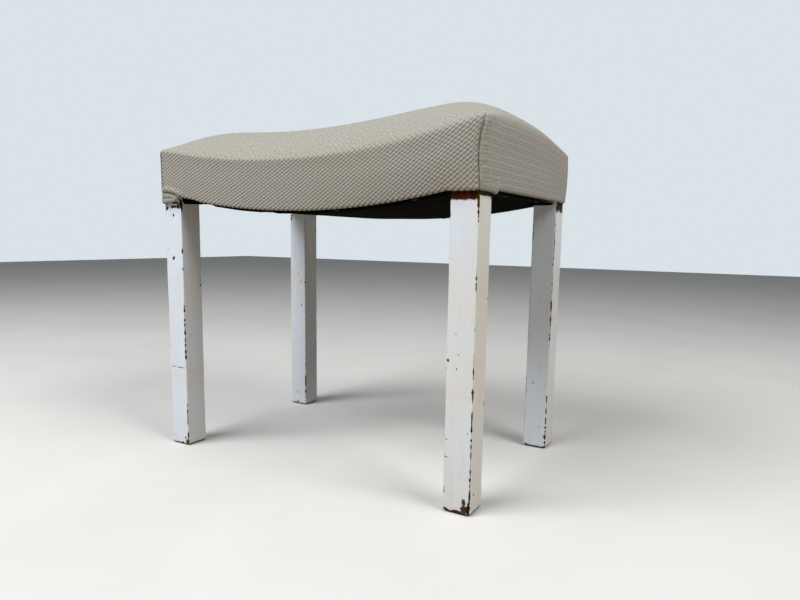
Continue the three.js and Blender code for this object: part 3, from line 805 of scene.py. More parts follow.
def swollen_moves():
    """How far the stretched cloth swells between hems and seams, as a table over its lines."""
    mesh = mesh_from(cross_sheet(), "cover_form")
    flat = places_of(mesh)
    along, across = on_lines(flat, cover_lines_x, cover_lines_y)
    set_places(mesh, rounded_cover(along, across) * MM)
    past_x, past_y = np.abs(along) - cover_half_length, np.abs(across) - cover_half_depth
    pinned = (past_x > end_drop - 1) | (past_y > side_drop - 1)
    pinned |= (past_x > 0) & (past_y > -1) | (past_y > 0) & (past_x > -1)
    before, outward = places_of(mesh), normals_of(mesh)
    moved = (places_of(swell(mesh, pressure=4.0, cap=1.2, pinned=pinned)) - before) / MM
    moved = outward * np.clip((moved * outward).sum(axis=1, keepdims=True), 0, None)
    table = np.zeros((len(cover_lines_x), len(cover_lines_y), 3))
    i = np.rint(flat[:, 0] + (len(cover_lines_x) - 1) / 2).astype(int)
    j = np.rint(flat[:, 1] + (len(cover_lines_y) - 1) / 2).astype(int)
    table[i, j] = moved
    for axis in (0, 1):
        inner = np.take(table, np.arange(1, table.shape[axis] - 1), axis)
        sides = (np.take(table, np.arange(0, table.shape[axis] - 2), axis)
                 + np.take(table, np.arange(2, table.shape[axis]), axis))
        middle = [slice(None)] * 3
        middle[axis] = slice(1, -1)
        table[tuple(middle)] = 0.5 * inner + 0.25 * sides
    return table


def read_table(table, flat):
    """A table over the grid lines, read between them."""
    px = flat[:, 0] + (table.shape[0] - 1) / 2
    py = flat[:, 1] + (table.shape[1] - 1) / 2
    i = np.clip(np.floor(px).astype(int), 0, table.shape[0] - 2)
    j = np.clip(np.floor(py).astype(int), 0, table.shape[1] - 2)
    return read_between(table, i, j, (px - i)[:, None], (py - j)[:, None])


def cover_sheet():
    """The cover's flat grid with two sides. Returns its mesh, flat places and which are outside."""
    shape = cross_sheet()
    bmesh.ops.solidify(shape, geom=shape.faces[:], thickness=0.25)
    shape.normal_update()
    level = max(vert.co.z for vert in shape.verts)
    outer = {edge for face in shape.faces if face.normal.z > 0.9 for edge in face.edges}
    bmesh.ops.subdivide_edges(shape, edges=list(outer), cuts=2, use_grid_fill=True)
    mesh = mesh_from(shape, "seat_cover_woven")
    flat = places_of(mesh)
    return mesh, flat, flat[:, 2] > level - 0.01


def cover_piece():
    """The cover: a thick sheet whose outside has the weave's real bobbles."""
    moves = swollen_moves()
    mesh, flat, outside = cover_sheet()
    along, across = on_lines(flat, cover_lines_x, cover_lines_y)
    u, v = on_lines(flat, cloth_lines_x, cloth_lines_y)
    u, v = u + 0.32 * value_noise(u, v, 61, 21), v + 0.24 * value_noise(u, v, 62, 17)
    yielding = np.interp(along, (-239, -60, 60, 190), (0.1, 0.2, 0.5, 1.0))
    set_places(mesh, rounded_cover(along, across) + read_table(moves, flat) * yielding[:, None])

    # The weave's relief. It is worn down at the creases, and ribbed on the ends
    down = np.maximum(*drops_of(along, across))
    # The same mark lightens the weave's colour on the top and at the creases: wear, and painted
    # light
    rub_from = np.interp(along, crease_stations, (0.0, -0.01, -0.13, -0.15))
    rub_to = np.interp(along, crease_stations, (0.045, 0.045, 0.12, 0.17))
    rubbed_and_lit = 1 - smooth_step(down, rub_from, rub_to)
    past_x, past_y = np.abs(along) - cover_half_length, np.abs(across) - cover_half_depth
    far = 99
    from_seam = np.minimum(np.where(past_y > 0, -past_x, far), np.where(past_x > 0, -past_y, far))
    turn, lift = 2 * pi * u / bobble_length, 2 * pi * v / bobble_depth
    on_end = smooth_step(past_x, -2, 6)
    bobbles = 0.66 * np.cos(turn - lift) + 0.36 * np.cos(turn + lift) + 0.05 * np.cos(turn)
    ribs = 0.08 * np.cos(turn) + 0.2 * np.cos(turn - lift) + 0.15 * np.cos(turn + lift)
    relief = (0.36 - 0.26 * rubbed_and_lit) * (bobbles + on_end * (ribs - bobbles))

    # The outer skin stands off the form by the cloth's thickness, less so at the seams. Turned
    # under the hem, the inner skin is the one that moves, up against the rail
    recess = 1 - 0.75 * bump_at(from_seam, 0, 1.6) * (down > 0.02)
    relief = relief * smooth_step(from_seam, 0.5, 3.5) + cover_thickness * recess
    tucked = smooth_step(np.maximum(past_x - end_drop, past_y - side_drop), 0, 2)
    skin_moved(mesh, np.where(outside, relief * (1 - tucked), cover_thickness * tucked))
    add_sheet_map(mesh, u, v)
    # The ends' mark: ribbed relief and colour, and painted light that draws the end faces lighter
    add_mark(mesh, "ribbed", on_end)
    cover_marks(mesh, along, across, u, v, down, from_seam, rubbed_and_lit)
    cover = finished("seat_cover_woven", mesh, "seat_fabric", ["seat_cover"])


def cover_marks(mesh, along, across, u, v, down, from_seam, rubbed_and_lit):
    """Marks where the nap is rubbed flat and lit, and the painted shade of the seams and of the
    loose fold.
    """
    x, y, z = places_of(mesh).T / MM
    left_front, right_front = (along < 0) & (across < 0), (along > 0) & (across < 0)
    on_fold = (y < -cover_half_depth + 8) * (down > 0.3) * smooth_step(-x, 192, 196)
    fold_line = np.interp(-x, fold_stations, fold_heights)
    # A lighter band below the loose fold is a painted highlight. Beside the right front seam the
    # weave is evened out too
    rubbed_and_lit = np.maximum(rubbed_and_lit, 0.75 * on_fold * smooth_step(fold_line - z, 0, 3))
    rubbed_and_lit = np.maximum(rubbed_and_lit, 0.4 * right_front * (down > 0) * np.exp(-from_seam / 13))
    # The seam mark is painted shade: in the seams' crevices, broken up along them, and at the left
    # front corner the end face in shadow, darker towards the top
    seam_shade_strength = 0.8 + 0.2 * value_noise(u + 2 * v, v, 51, 3.1) + 0.26 * np.sin(z * 0.95) - 0.14
    seam_shade_strength = np.where(left_front, 1.1 * smooth_step(z, 356, 366), seam_shade_strength)
    seam_shade_width = np.where(left_front & (np.abs(along) > cover_half_length), 8.0,
                   1.15 + 1.7 * right_front * bump_at(down, 0.035, 0.03))
    # Painted shade in the creases under the loose fold over the left front leg
    second_fold_shade = (0.9 + 0.25 * np.sin(x)) * bump_at(z, 348.4, 1.6) * smooth_step(-x, 199, 205)
    fold_shade = np.maximum(1.15 * bump_at(z, fold_line - 0.8, 1.6), second_fold_shade)
    shade = bump_at(from_seam, 0, seam_shade_width) * seam_shade_strength * (down > 0.01)
    add_mark(mesh, "rubbed_and_lit", rubbed_and_lit)
    add_mark(mesh, "seam", np.maximum(shade, fold_shade * on_fold))


# ---- Padding under the cover ----
wadding_side_rise = 6.0


def wadding_piece():
    """Cotton wadding over the pad and down the frame's sides."""
    half_x, half_y, down_cells = 24, 17, 7
    lines_x, lines_y = (
        lines_from_middle(cells_from(0, half, count)
                          + cells_from(half, drop - wadding_side_rise, down_cells))
        for half, count, drop in ((cover_half_length, half_x, end_drop),
                                  (cover_half_depth, half_y, side_drop)))
    shape = even_grid(2 * (half_x + down_cells), 2 * (half_y + down_cells), half_x, half_y)
    bmesh.ops.subdivide_edges(shape, edges=shape.edges[:], cuts=1, use_grid_fill=True)
    mesh, flat, above = two_sided(shape, "wadding_layer_felted")
    along, across = on_lines(flat, lines_x, lines_y)
    set_places(mesh, rounded_cover(along, across, inset=1.0, with_seams=0.0))
    down = np.maximum(*drops_of(along, across))
    lumps = 0.35 * value_noise(along, across, 5, 11) + 0.2 * value_noise(along, across, 6, 4)
    thickness = 3.2 - 2.0 * smooth_step(down, -0.02, 0.12)
    outer = -0.3 + 0.3 * lumps * (down < 0) - 1.2 * bump_at(down, 0, 0.05)
    skin_moved(mesh, np.where(above, outer, thickness))
    wadding = finished("wadding_layer_felted", mesh, "cotton_wadding", ["wadding_layer"])


def pad_piece():
    """The stuffing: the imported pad's form, swollen as cloth and lumped as fibre is."""
    shape = bmesh.new()
    shape.from_mesh(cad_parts["stuffing_pad"].data)
    bmesh.ops.remove_doubles(shape, verts=shape.verts, dist=1e-6)
    shape.normal_update()
    start = mesh_from(shape, "pad_start")
    places = places_of(start) / MM
    x, y, z = places.T
    bottom = frame_top - dish_at(x) + 5.3
    s, t = np.clip(x / cover_half_length, -1, 1), np.clip(y / cover_half_depth, -1, 1)
    even = (hem_height + front_rise + dish_rise * s**2 + end_arch * s**6 * (1 - t**2)
            + crown_height * (1 - np.abs(s)**7.5) * (1 - t**4))
    share = np.clip((z - bottom) / np.maximum(even - bottom, 1), 0, 1)
    places[:, 2] += (seat_height(x, y) - even - 0.6) * share
    places -= normals_of(start) * 1.8
    places[:, 2] = np.maximum(places[:, 2], bottom + 0.2)
    set_places(start, places * MM)
    made = linked("pad_form", start)
    remesh = made.modifiers.new("remesh", "REMESH")
    remesh.mode = "VOXEL"
    remesh.voxel_size = 0.006
    swollen = swell(evaluated_mesh(made, "pad_swollen"), pressure=4.0, cap=1.8)
    bpy.data.objects.remove(made)
    made = linked("pad_form", swollen)
    divide = made.modifiers.new("divide", "SUBSURF")
    divide.levels = divide.render_levels = 1
    mesh = evaluated_mesh(made, "stuffing_pad_fibre")
    bpy.data.objects.remove(made)
    places, normals = places_of(mesh) / MM, normals_of(mesh)
    lumps = 0.7 * value_noise(places[:, 0], places[:, 1], 11, 17) + 0.4 * value_noise(
        places[:, 0] + places[:, 2], places[:, 1], 12, 6)
    places += normals * (0.5 * lumps - 0.4)[:, None]
    set_places(mesh, places * MM)
    pad = finished("stuffing_pad_fibre", mesh, "fibre_stuffing", ["stuffing_pad"])


def evaluated_mesh(made, name):
    """A copy of an object's mesh with its modifiers applied."""
    shown = made.evaluated_get(bpy.context.evaluated_depsgraph_get())
    mesh = bpy.data.meshes.new_from_object(shown)
    mesh.name = name
    return mesh


cloth_settings = {
    "quality": 5, "mass": 0.3, "tension_stiffness": 25, "compression_stiffness": 25,
    "shear_stiffness": 12, "bending_stiffness": 1.5, "use_pressure": True}


def swell(mesh, pressure, cap, pinned=None):
    """Blows a mesh out as cloth for twenty frames. No vertex moves more than cap millimetres."""
    made = linked("cloth_form", mesh)
    before = places_of(mesh)
    cloth = made.modifiers.new("cloth", "CLOTH")
    cloth.point_cache.frame_start = 1
    cloth.point_cache.frame_end = 20
    settings = cloth.settings
    for name, value in cloth_settings.items():
        setattr(settings, name, value)
    settings.uniform_pressure_force = pressure
    settings.effector_weights.gravity = 0
    if pinned is not None:
        group = made.vertex_groups.new(name="pinned")
        group.add([int(i) for i in np.nonzero(pinned)[0]], 1.0, "REPLACE")
        settings.vertex_group_mass = "pinned"
    scene = bpy.context.scene
    for step in range(1, 21):
        scene.frame_set(step)
    after = places_of(evaluated_mesh(made, "cloth_after"))
    scene.frame_set(1)
    bpy.data.objects.remove(made)
    moved = after - before
    length = np.linalg.norm(moved, axis=1, keepdims=True)
    soft_cap = cap * MM * np.tanh(length / (cap * MM))
    set_places(mesh, before + moved / np.maximum(length, 1e-9) * soft_cap)
    return mesh


# ---- Hessian, straps and the black cloth ----
strap_width = 50
cross_strap_middles = (-150, -50, 50, 150)
long_strap_middle = 55
strap_middle_height = 1.05
hessian_top = 5.1


def hessian_piece():
    """The base cloth over the straps, sunk a little between them."""
    half_x, half_y = 230.5, 144.0
    cells_x, cells_y = 116, 72
    mesh, flat, above = two_sided(even_grid(cells_x, cells_y), "hessian_base_cloth")
    x, y = flat[:, 0] / (cells_x / 2) * half_x, flat[:, 1] / (cells_y / 2) * half_y
    over_cross = np.maximum.reduce([bump_at(x, middle, 24) for middle in cross_strap_middles])
    over_long = np.maximum(bump_at(y, -long_strap_middle, 24), bump_at(y, long_strap_middle, 24))
    held = np.maximum(np.maximum(over_cross, over_long), smooth_step(np.abs(y), 126, 134))
    slack = 0.7 * (1 - np.clip(held, 0, 1)) + 0.12 * value_noise(x, y, 21, 14)
    z = frame_top - dish_at(x) + np.where(above, hessian_top, hessian_top - 1) - slack
    set_places(mesh, np.stack([x, y, z], axis=1) * MM)
    add_sheet_map(mesh, x, y)
    hessian = finished("hessian_base_cloth", mesh, "hessian", ["hessian_base"])


def ribbon(name, path, thickness):
    """A strap along a path of (along, height), its edges a little thinner. It lies along X."""
    lines = np.array(path)
    step = np.gradient(lines, axis=0)
    step = step / np.linalg.norm(step, axis=1, keepdims=True)
    square = np.stack([-step[:, 1], step[:, 0]], axis=1)
    count, cells = len(path) - 1, 14
    mesh, flat, above = two_sided(even_grid(count, cells), name)
    index = np.rint(flat[:, 0] + count / 2).astype(int)
    across = flat[:, 1] / cells * strap_width
    edge = 1 - 0.3 * smooth_step(np.abs(across), strap_width / 2 - 1.5, strap_width / 2)
    half = np.where(above, 0.5, -0.5) * thickness * edge
    along = lines[index, 0] + square[index, 0] * half
    height = lines[index, 1] + square[index, 1] * half
    gone = np.concatenate([[0], np.cumsum(np.linalg.norm(np.diff(lines, axis=0), axis=1))])
    return mesh, along, across, height, gone[index], gone[-1]


def strap_piece(name, mesh, places, gone, across, length):
    """Finishes a strap."""
    set_places(mesh, np.stack(places, axis=1) * MM)
    add_sheet_map(mesh, gone, across)
    strap = finished(name + "_jute", mesh, "jute_webbing", [name])
    length * MM


def cross_strap(number, middle):
    """A strap from front rail to back rail, bent to the rails' arc."""
    half_depth = 138.5
    path = [(y, 0.0) for y in np.linspace(-half_depth, half_depth, 112)]
    name = f"web_cross_{number}"
    mesh, along, across, height, gone, length = ribbon(name + "_jute", path, 1.4)
    x = middle - across
    uneven = 0.08 * value_noise(along, across, 30 + number, 9) * (height > 0)
    z = frame_top - dish_at(x) + strap_middle_height + height + uneven
    strap_piece(name, mesh, [x, along, z], gone, across, length)


def long_strap(name, direction, y_middle):
    """A strap from end to end, woven over and under the cross straps, its ends folded back."""
    reach, fold, rise, turn = 223.7, 204.5, 1.8, 0.75
    x = np.linspace(-reach, reach, 240)
    swing = np.clip(1.6 * np.sin(pi * x / 100.0), -1, 1) * (np.abs(x) < half_span)
    height = frame_top - dish_at(x) + strap_middle_height + direction * swing * rise
    angles = np.linspace(-pi / 2, pi / 2, 7)
    turned = frame_top + strap_middle_height + turn + turn * np.sin(angles)
    right_fold = [(reach + turn * cos(angle), z) for angle, z in zip(angles, turned)][1:]
    right_run = [(place, frame_top + 2.55) for place in np.linspace(reach - 1.2, fold, 9)]
    left_end = [(-place, z) for place, z in reversed(right_fold + right_run)]
    path = left_end + list(zip(x, height)) + right_fold + right_run
    mesh, along, across, height, gone, length = ribbon(name + "_jute", path, 1.3)
    strap_piece(name, mesh, [along, across + y_middle, height], gone, across, length)


cloth_inset = 7.0


def dust_cover_piece():
    """The black cloth under the seat: folded in at its edges, cut back from the legs and tacked."""
    half_x, half_y = cover_half_length - cloth_inset, cover_half_depth - cloth_inset
    notch_x, notch_y = half_span - 2.5, half_end_span - 2.5
    cells_x, cells_y = 40, 24
    lines_x, lines_y = (
        lines_from_middle(cells_from(0, notch, cells) + [notch + d for d in (3, 8, 14, 21, 23.2)]
                          + [half - d for d in (7.8, 4.5, 2.5, 0.6, 0)])
        for half, notch, cells in ((half_x, notch_x, cells_x), (half_y, notch_y, cells_y)))
    shape = even_grid(len(lines_x) - 1, len(lines_y) - 1, cells_x, cells_y)
    mesh, flat, above = two_sided(shape, "dust_cover_cloth")
    x, y = on_lines(flat, lines_x, lines_y)
    from_side = np.minimum(half_x - np.abs(x), half_y - np.abs(y))
    gap_x, gap_y = np.maximum(notch_x - np.abs(x), 0), np.maximum(notch_y - np.abs(y), 0)
    corner_gap = np.hypot(gap_x, gap_y)
    from_edge = np.minimum(from_side, corner_gap)
    folded = 1 - smooth_step(from_edge, 7.0, 8.2)
    uneven = 0.25 * value_noise(x, y, 41, 19) * smooth_step(from_edge, 8, 30)
    sag = 2.4 * smooth_step(from_edge, 8, 70) + uneven
    ripple = 0.35 * np.sin(x / 9.0 + 2.0 * value_noise(x, y, 42, 60)) * bump_at(from_edge, 16, 12)
    droop = cloth_droop(x, y, half_y, from_side, corner_gap)
    z = hem_height - dish_at(x) - 0.7 - sag - ripple - droop
    z = z - np.where(above, 0.0, 0.5 + 0.4 * folded)
    # Its front corner is drawn close against the left front leg
    close = bump_at(x, -notch_x, 9) * bump_at(y, -half_y, 9)
    set_places(mesh, np.stack([x - 2.1 * close, y - 3.2 * close, z], axis=1) * MM)
    cloth = finished("dust_cover_cloth", mesh, "black_cloth", ["dust_cover"])


def cloth_droop(x, y, half_y, from_side, corner_gap):
    """How far the black cloth hangs: at its notches, most beside the left front leg, and between
    its tacks, all along beside that leg. Its edge stays up against the hem."""
    hangs = np.where((x < 0) & (y < 0), 7.2, np.where((x > 0) & (y < 0), 1.2, 2.0))
    hangs = hangs * (1 + 0.12 * value_noise(x, y, 43, 11))
    hangs = hangs * (1 - smooth_step(corner_gap, 0, 9))**1.5
    tacks = np.array([(low + high) / 2 for low, high in map(
        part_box, (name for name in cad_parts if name.startswith("dust_tack_")))]) / MM
    from_tack = np.hypot(x[:, None] - tacks[:, 0], y[:, None] - tacks[:, 1]).min(axis=1)
    droop = 2.7 * smooth_step(from_tack, 3.5, 10) * smooth_step(corner_gap, 2, 14)
    droop = np.maximum(droop, 5.2 * (1 - smooth_step(x, -196, -160)))
    droop = droop * (1 - smooth_step(half_y + y, 12, 34))
    return np.maximum(droop, hangs) * smooth_step(from_side, 0.4, 4.5)


tack_profile = (
    (0.0, -1.25), (1.2, -1.2), (2.2, -0.95), (3.0, -0.5), (3.35, -0.1), (3.3, 0.05),
    (2.4, 0.1), (1.0, 0.1), (0.85, 1.0), (0.7, 8.0), (0.0, 11.5))


def tack_piece(node):
    """A domed tack whose shank goes up into the rail, square to the rail's arc."""
    low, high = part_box(node)
    middle = (low + high) / 2 / MM
    slope, top = 0.0, hem_height
    if "_front_" in node or "_back_" in node:
        slope = np.arcsin(np.clip(middle.x, -half_span, half_span) / dish_radius)
        top = hem_height - float(dish_at(np.array(middle.x)))
    shape = bmesh.new()
    rings = [shape.verts.new((radius, 0, height)) for radius, height in tack_profile]
    for first, second in zip(rings, rings[1:]):
        shape.edges.new((first, second))
    bmesh.ops.spin(shape, geom=shape.verts[:] + shape.edges[:], axis=(0, 0, 1), cent=(0, 0, 0),
                   angle=2 * pi, steps=24, use_merge=True)
    bmesh.ops.remove_doubles(shape, verts=shape.verts, dist=0.0005)
    bmesh.ops.recalc_face_normals(shape, faces=shape.faces)
    place = Matrix.Translation((middle.x, middle.y, 0)) @ Matrix.Rotation(-slope, 4, "Y")
    place = Matrix.Translation((0, 0, top - 1.4)) @ place
    bmesh.ops.transform(shape, matrix=Matrix.Scale(MM, 4) @ place, verts=shape.verts)
    finished(node + "_domed", mesh_from(shape, node + "_domed"), "blued_steel", [node])


# ---- Legs ----
half_leg = leg_section / 2
painted_height = 352
section_steps = (0, 0.4, 0.9, 1.6, 2.5, 3.7, 5.1, 6.8, 8.6, 10.5, 12.4, 14.3, half_leg)
foot_steps = (0, 0.5, 1.1, 1.8, 2.7, 3.8, 5.1, 6.6, 8.2)

# Each leg's corner, seed, wear at the foot, yellowing and painted light of its front and right
# faces, how golden and how tarred its bare wood is, and its grime and painted shade under the hem
leg_looks = {
    "leg_front_left": ((-1, -1), 71, 0.78, (0.0, 0.45), 0.1, 0.85, 0.0),
    "leg_front_right": ((1, -1), 72, 1.0, (0.5, 0.95), 0.85, 0.25, 0.2),
    "leg_back_right": ((1, 1), 73, 0.9, (0.1, 0.6), 0.85, 0.25, 0.2),
    "leg_back_left": ((-1, 1), 74, 0.75, (0.0, 0.35), 0.4, 0.6, 0.2),
}

# Where paint is gone, in millimetres as on the stool. A chip: its place along the face, height,
# half width and half height. A worn arris: its signs of X and Y, its ends' heights, width worn
leg_chips = {
    "leg_front_left": {
        "front": [
            (-218.1, 325.0, 1.6, 2.3), (-220.7, 266.2, 1.9, 2.4), (-218.6, 267.6, 1.2, 0.9),
            (-234.0, 333.1, 4.2, 1.6), (-229.6, 335.2, 2.2, 2.0), (-219.8, 335.6, 2.6, 1.4),
            (-216.6, 336.6, 6.4, 1.5), (-208.6, 338.4, 1.9, 4.4), (-234.0, 339.6, 3.8, 2.2),
            (-206.8, 335.2, 1.5, 1.8), (-204.4, 341.0, 1.6, 6.4), (-214.6, 342.0, 6.2, 1.3),
            (-234.6, 325.6, 0.9, 3.4), (-228, 112.9, 9.5, 0.55), (-213, 112.5, 9.0, 0.45),
            (-234.6, 157.2, 0.8, 1.1), (-233.5, 141.5, 0.7, 1.0), (-208.7, 63.2, 0.8, 0.9),
            (-208.3, 11.0, 1.2, 2.6), (-205.6, 5.5, 1.8, 3.2), (-214, 2.4, 3.0, 1.4),
            (-229, 12, 0.9, 1.6)],
        "right": [
            (-147.4, 338.0, 1.6, 9.0), (-119, 235.5, 0.8, 1.5), (-118.2, 228.3, 0.8, 1.6)]},
    "leg_front_right": {
        "front": [
            (204.6, 170.2, 1.4, 1.9), (214.4, 162, 0.7, 1.5), (227.2, 160.3, 0.6, 0.8),
            (227.6, 15.5, 2.2, 3.6), (228.6, 7.5, 4.0, 5.0), (220, 2.6, 7.5, 2.4),
            (233.5, 9.0, 1.6, 8.0), (206, 3.4, 3.6, 1.8), (202.8, 323.5, 0.8, 1.4),
            (202.6, 261.3, 0.6, 2.4), (205, 62.8, 3.2, 0.5), (230.5, 93.5, 2.4, 0.55),
            (203.4, 23.9, 1.0, 1.2)],
        "right": [
            (-118.4, 236, 0.6, 2.0), (-118.6, 121, 0.7, 3.2)]},
    "leg_back_right": {
        "front": [
            (202.9, 317, 0.9, 2.6), (203.1, 308, 0.9, 3.4), (203.3, 300, 0.8, 2.6),
            (233.2, 266, 0.9, 1.5), (233.5, 239.2, 0.5, 1.2), (220, 239, 0.6, 0.8),
            (216, 290, 0.5, 0.6), (206, 3.8, 1.2, 1.0), (224, 181, 0.5, 0.8)],
        "right": [
            (117.3, 340.5, 2.0, 4.6), (124.5, 341.5, 2.0, 2.2), (139.2, 339.5, 1.8, 4.4)]},
    "leg_back_left": {
        "front": [
            (-232.6, 329, 1.2, 3.6), (-230.8, 334, 2.2, 0.9), (-216.1, 256.1, 1.2, 0.5),
            (-217.6, 253.6, 0.5, 1.2), (-212.0, 220.7, 1.4, 0.8), (-203.4, 219.1, 0.9, 1.3),
            (-223.3, 205, 0.7, 0.6), (-224.5, 25, 1.9, 0.55), (-220.8, 21.6, 0.6, 2.4),
            (-217.2, 17.6, 1.4, 0.55), (-220.7, 4.3, 1.8, 1.6)],
        "right": [
            (145.6, 338, 1.0, 6.4), (146.8, 307, 0.9, 3.6)]},
}
worn_arrises = {
    "leg_front_left": [
        (1, -1, 123, 206, 1.6), (1, -1, 272, 287, 1.1), (1, -1, 249, 255, 1.0),
        (1, -1, 30, 62, 0.9), (1, -1, 0, 20, 1.2), (-1, -1, 40, 104, 0.7),
        (-1, -1, 120, 345, 0.55)],
    "leg_front_right": [
        (1, -1, 322, 350, 1.5), (1, -1, 316, 323, 2.4), (1, -1, 256, 267, 1.2),
        (1, -1, 245, 255, 1.0), (1, -1, 152, 180, 0.9), (1, -1, 126, 145, 1.5),
        (1, -1, 90, 118, 1.7), (1, -1, 76, 88, 1.7), (1, -1, 46, 76, 0.8), (1, -1, 14, 46, 1.3),
        (1, -1, 0, 16, 2.2), (-1, -1, 153, 163, 1.5), (-1, -1, 18, 30, 1.0),
        (-1, -1, 230, 330, 0.5), (-1, -1, 40, 140, 0.45)],
    "leg_back_right": [
        (1, -1, 0, 34, 2.2), (1, -1, 30, 80, 1.4), (1, -1, 159, 218, 1.3), (1, -1, 218, 330, 0.6),
        (-1, -1, 74, 104, 0.9), (-1, -1, 190, 196, 0.9), (-1, -1, 20, 60, 0.6)],
    "leg_back_left": [
        (1, 1, 10, 345, 0.6), (1, -1, 8, 56, 1.1), (1, -1, 216, 222, 1.0), (1, -1, 60, 330, 0.45),
        (-1, -1, 84, 112, 0.9), (-1, -1, 296, 330, 0.7), (-1, -1, 10, 84, 0.45)],
}


def post_grid(count_side, count_up):
    """A unit cube whose faces are cut into a grid."""
    shape = bmesh.new()
    bmesh.ops.create_cube(shape, size=1)
    for axis, count in enumerate((count_side, count_side, count_up)):
        long_edges = [edge for edge in shape.edges
                      if abs(edge.verts[0].co[axis] - edge.verts[1].co[axis]) > 0.5]
        bmesh.ops.subdivide_edges(shape, edges=long_edges, cuts=count - 1, use_grid_fill=True)
    return shape


def leg_grid(name):
    """A post's mesh, and its places round its own middle on lines that are closest at arrises."""
    near, far = [step - half_leg for step in section_steps], section_steps[:-1]
    section = near + [half_leg - step for step in reversed(far)]
    foot_top = foot_steps[-1]
    heights = list(foot_steps) + cells_from(foot_top, 351.8 - foot_top, 300) + [366, 380, frame_top]
    mesh = mesh_from(post_grid(len(section) - 1, len(heights) - 1), name)
    unit = places_of(mesh) + 0.5
    x, y, z = (np.interp(unit[:, axis] * (len(lines) - 1), np.arange(len(lines)), lines)
               for axis, lines in enumerate((section, section, heights)))
    return mesh, x, y, z, unit[:, 2] > 0.999


def worn_paint(node, x, y, z, middle_x, middle_y, seed, foot):
    """How worn the paint is: above one half it is gone."""
    worn = np.zeros(len(x))
    rng = np.random.default_rng(seed)
    chips = [(face, *chip) for face, rows in leg_chips[node].items() for chip in rows]
    for face in ("front", "back", "left", "right"):
        middle = middle_x if face in ("front", "back") else middle_y
        for _ in range(7 if face in ("back", "left") else 4):
            size = rng.uniform(0.3, 1.1)
            chips.append((face, middle + rng.uniform(-14, 14), rng.uniform(4, 345),
                          size, size * rng.uniform(0.7, 2.2)))
    for face, place, height, wide, tall in chips:
        side = -half_leg if face in ("front", "left") else half_leg
        if face in ("front", "back"):
            gone = np.abs(x + middle_x - place) + np.abs(y - side)
        else:
            gone = np.abs(y + middle_y - place) + np.abs(x - side)
        worn = np.maximum(worn, 1 - 0.5 * np.hypot(gone / wide, (z - height) / tall))

    # Arrises: small nicks all the way up, and the worn lengths
    arrises = list(worn_arrises[node])
    for arris_x, arris_y in ((-1, -1), (-1, 1), (1, -1), (1, 1)):
        knots = np.clip((rng.uniform(0, 1, 90) - 0.78) / 0.22, 0, 1)
        strength = np.interp(z, np.linspace(0, painted_height, 90), knots)
        gone = np.abs(x - arris_x * half_leg) + np.abs(y - arris_y * half_leg)
        worn = np.maximum(worn, strength * (1 - 0.5 * gone / 0.9))
        for _ in range(4 if arris_y > 0 else 0):
            start = rng.uniform(0, 300)
            arrises.append((arris_x, arris_y, start, start + rng.uniform(6, 46),
                            rng.uniform(0.6, 1.3)))
    for arris_x, arris_y, low, high, wide in arrises:
        gone = np.abs(x - arris_x * half_leg) + np.abs(y - arris_y * half_leg)
        ragged = np.interp(z, np.linspace(0, painted_height, 110), rng.uniform(-1, 1, 110))
        wide = wide * np.maximum(0.72 + 0.85 * ragged, 0.03)
        window = smooth_step(z, low - 2.5, low + 2.5) * (1 - smooth_step(z, high - 2.5, high + 2.5))
        worn = np.maximum(worn, window * (1 - 0.5 * gone / wide))
    foot_edge = z + 0.6 * np.minimum(half_leg - np.abs(x), half_leg - np.abs(y))
    return np.maximum(worn, foot * (1 - 0.16 * foot_edge))


def eased_post(x, y, z, worn, foot, seed):
    """A post's places with its arrises eased, more so where it is worn, and its chips sunk."""
    wear = smooth_step(worn, 0.35, 0.7)
    ease = 1.3 + 0.9 * wear + 1.6 * foot * np.exp(-z / 3.5)
    inner = np.stack([np.clip(x, ease - half_leg, half_leg - ease),
                      np.clip(y, ease - half_leg, half_leg - ease), np.maximum(z, ease)], axis=1)
    away = np.stack([x, y, z], axis=1) - inner
    outward = away / np.maximum(np.linalg.norm(away, axis=1, keepdims=True), 1e-6)
    place = inner + outward * ease[:, None]
    wander = (0.12 * value_noise(place[:, 2], x + 2 * y, seed, 40)
              + 0.05 * value_noise(place[:, 2], x - y, seed + 9, 9))
    return place + outward * (wander - 0.3 * wear)[:, None]


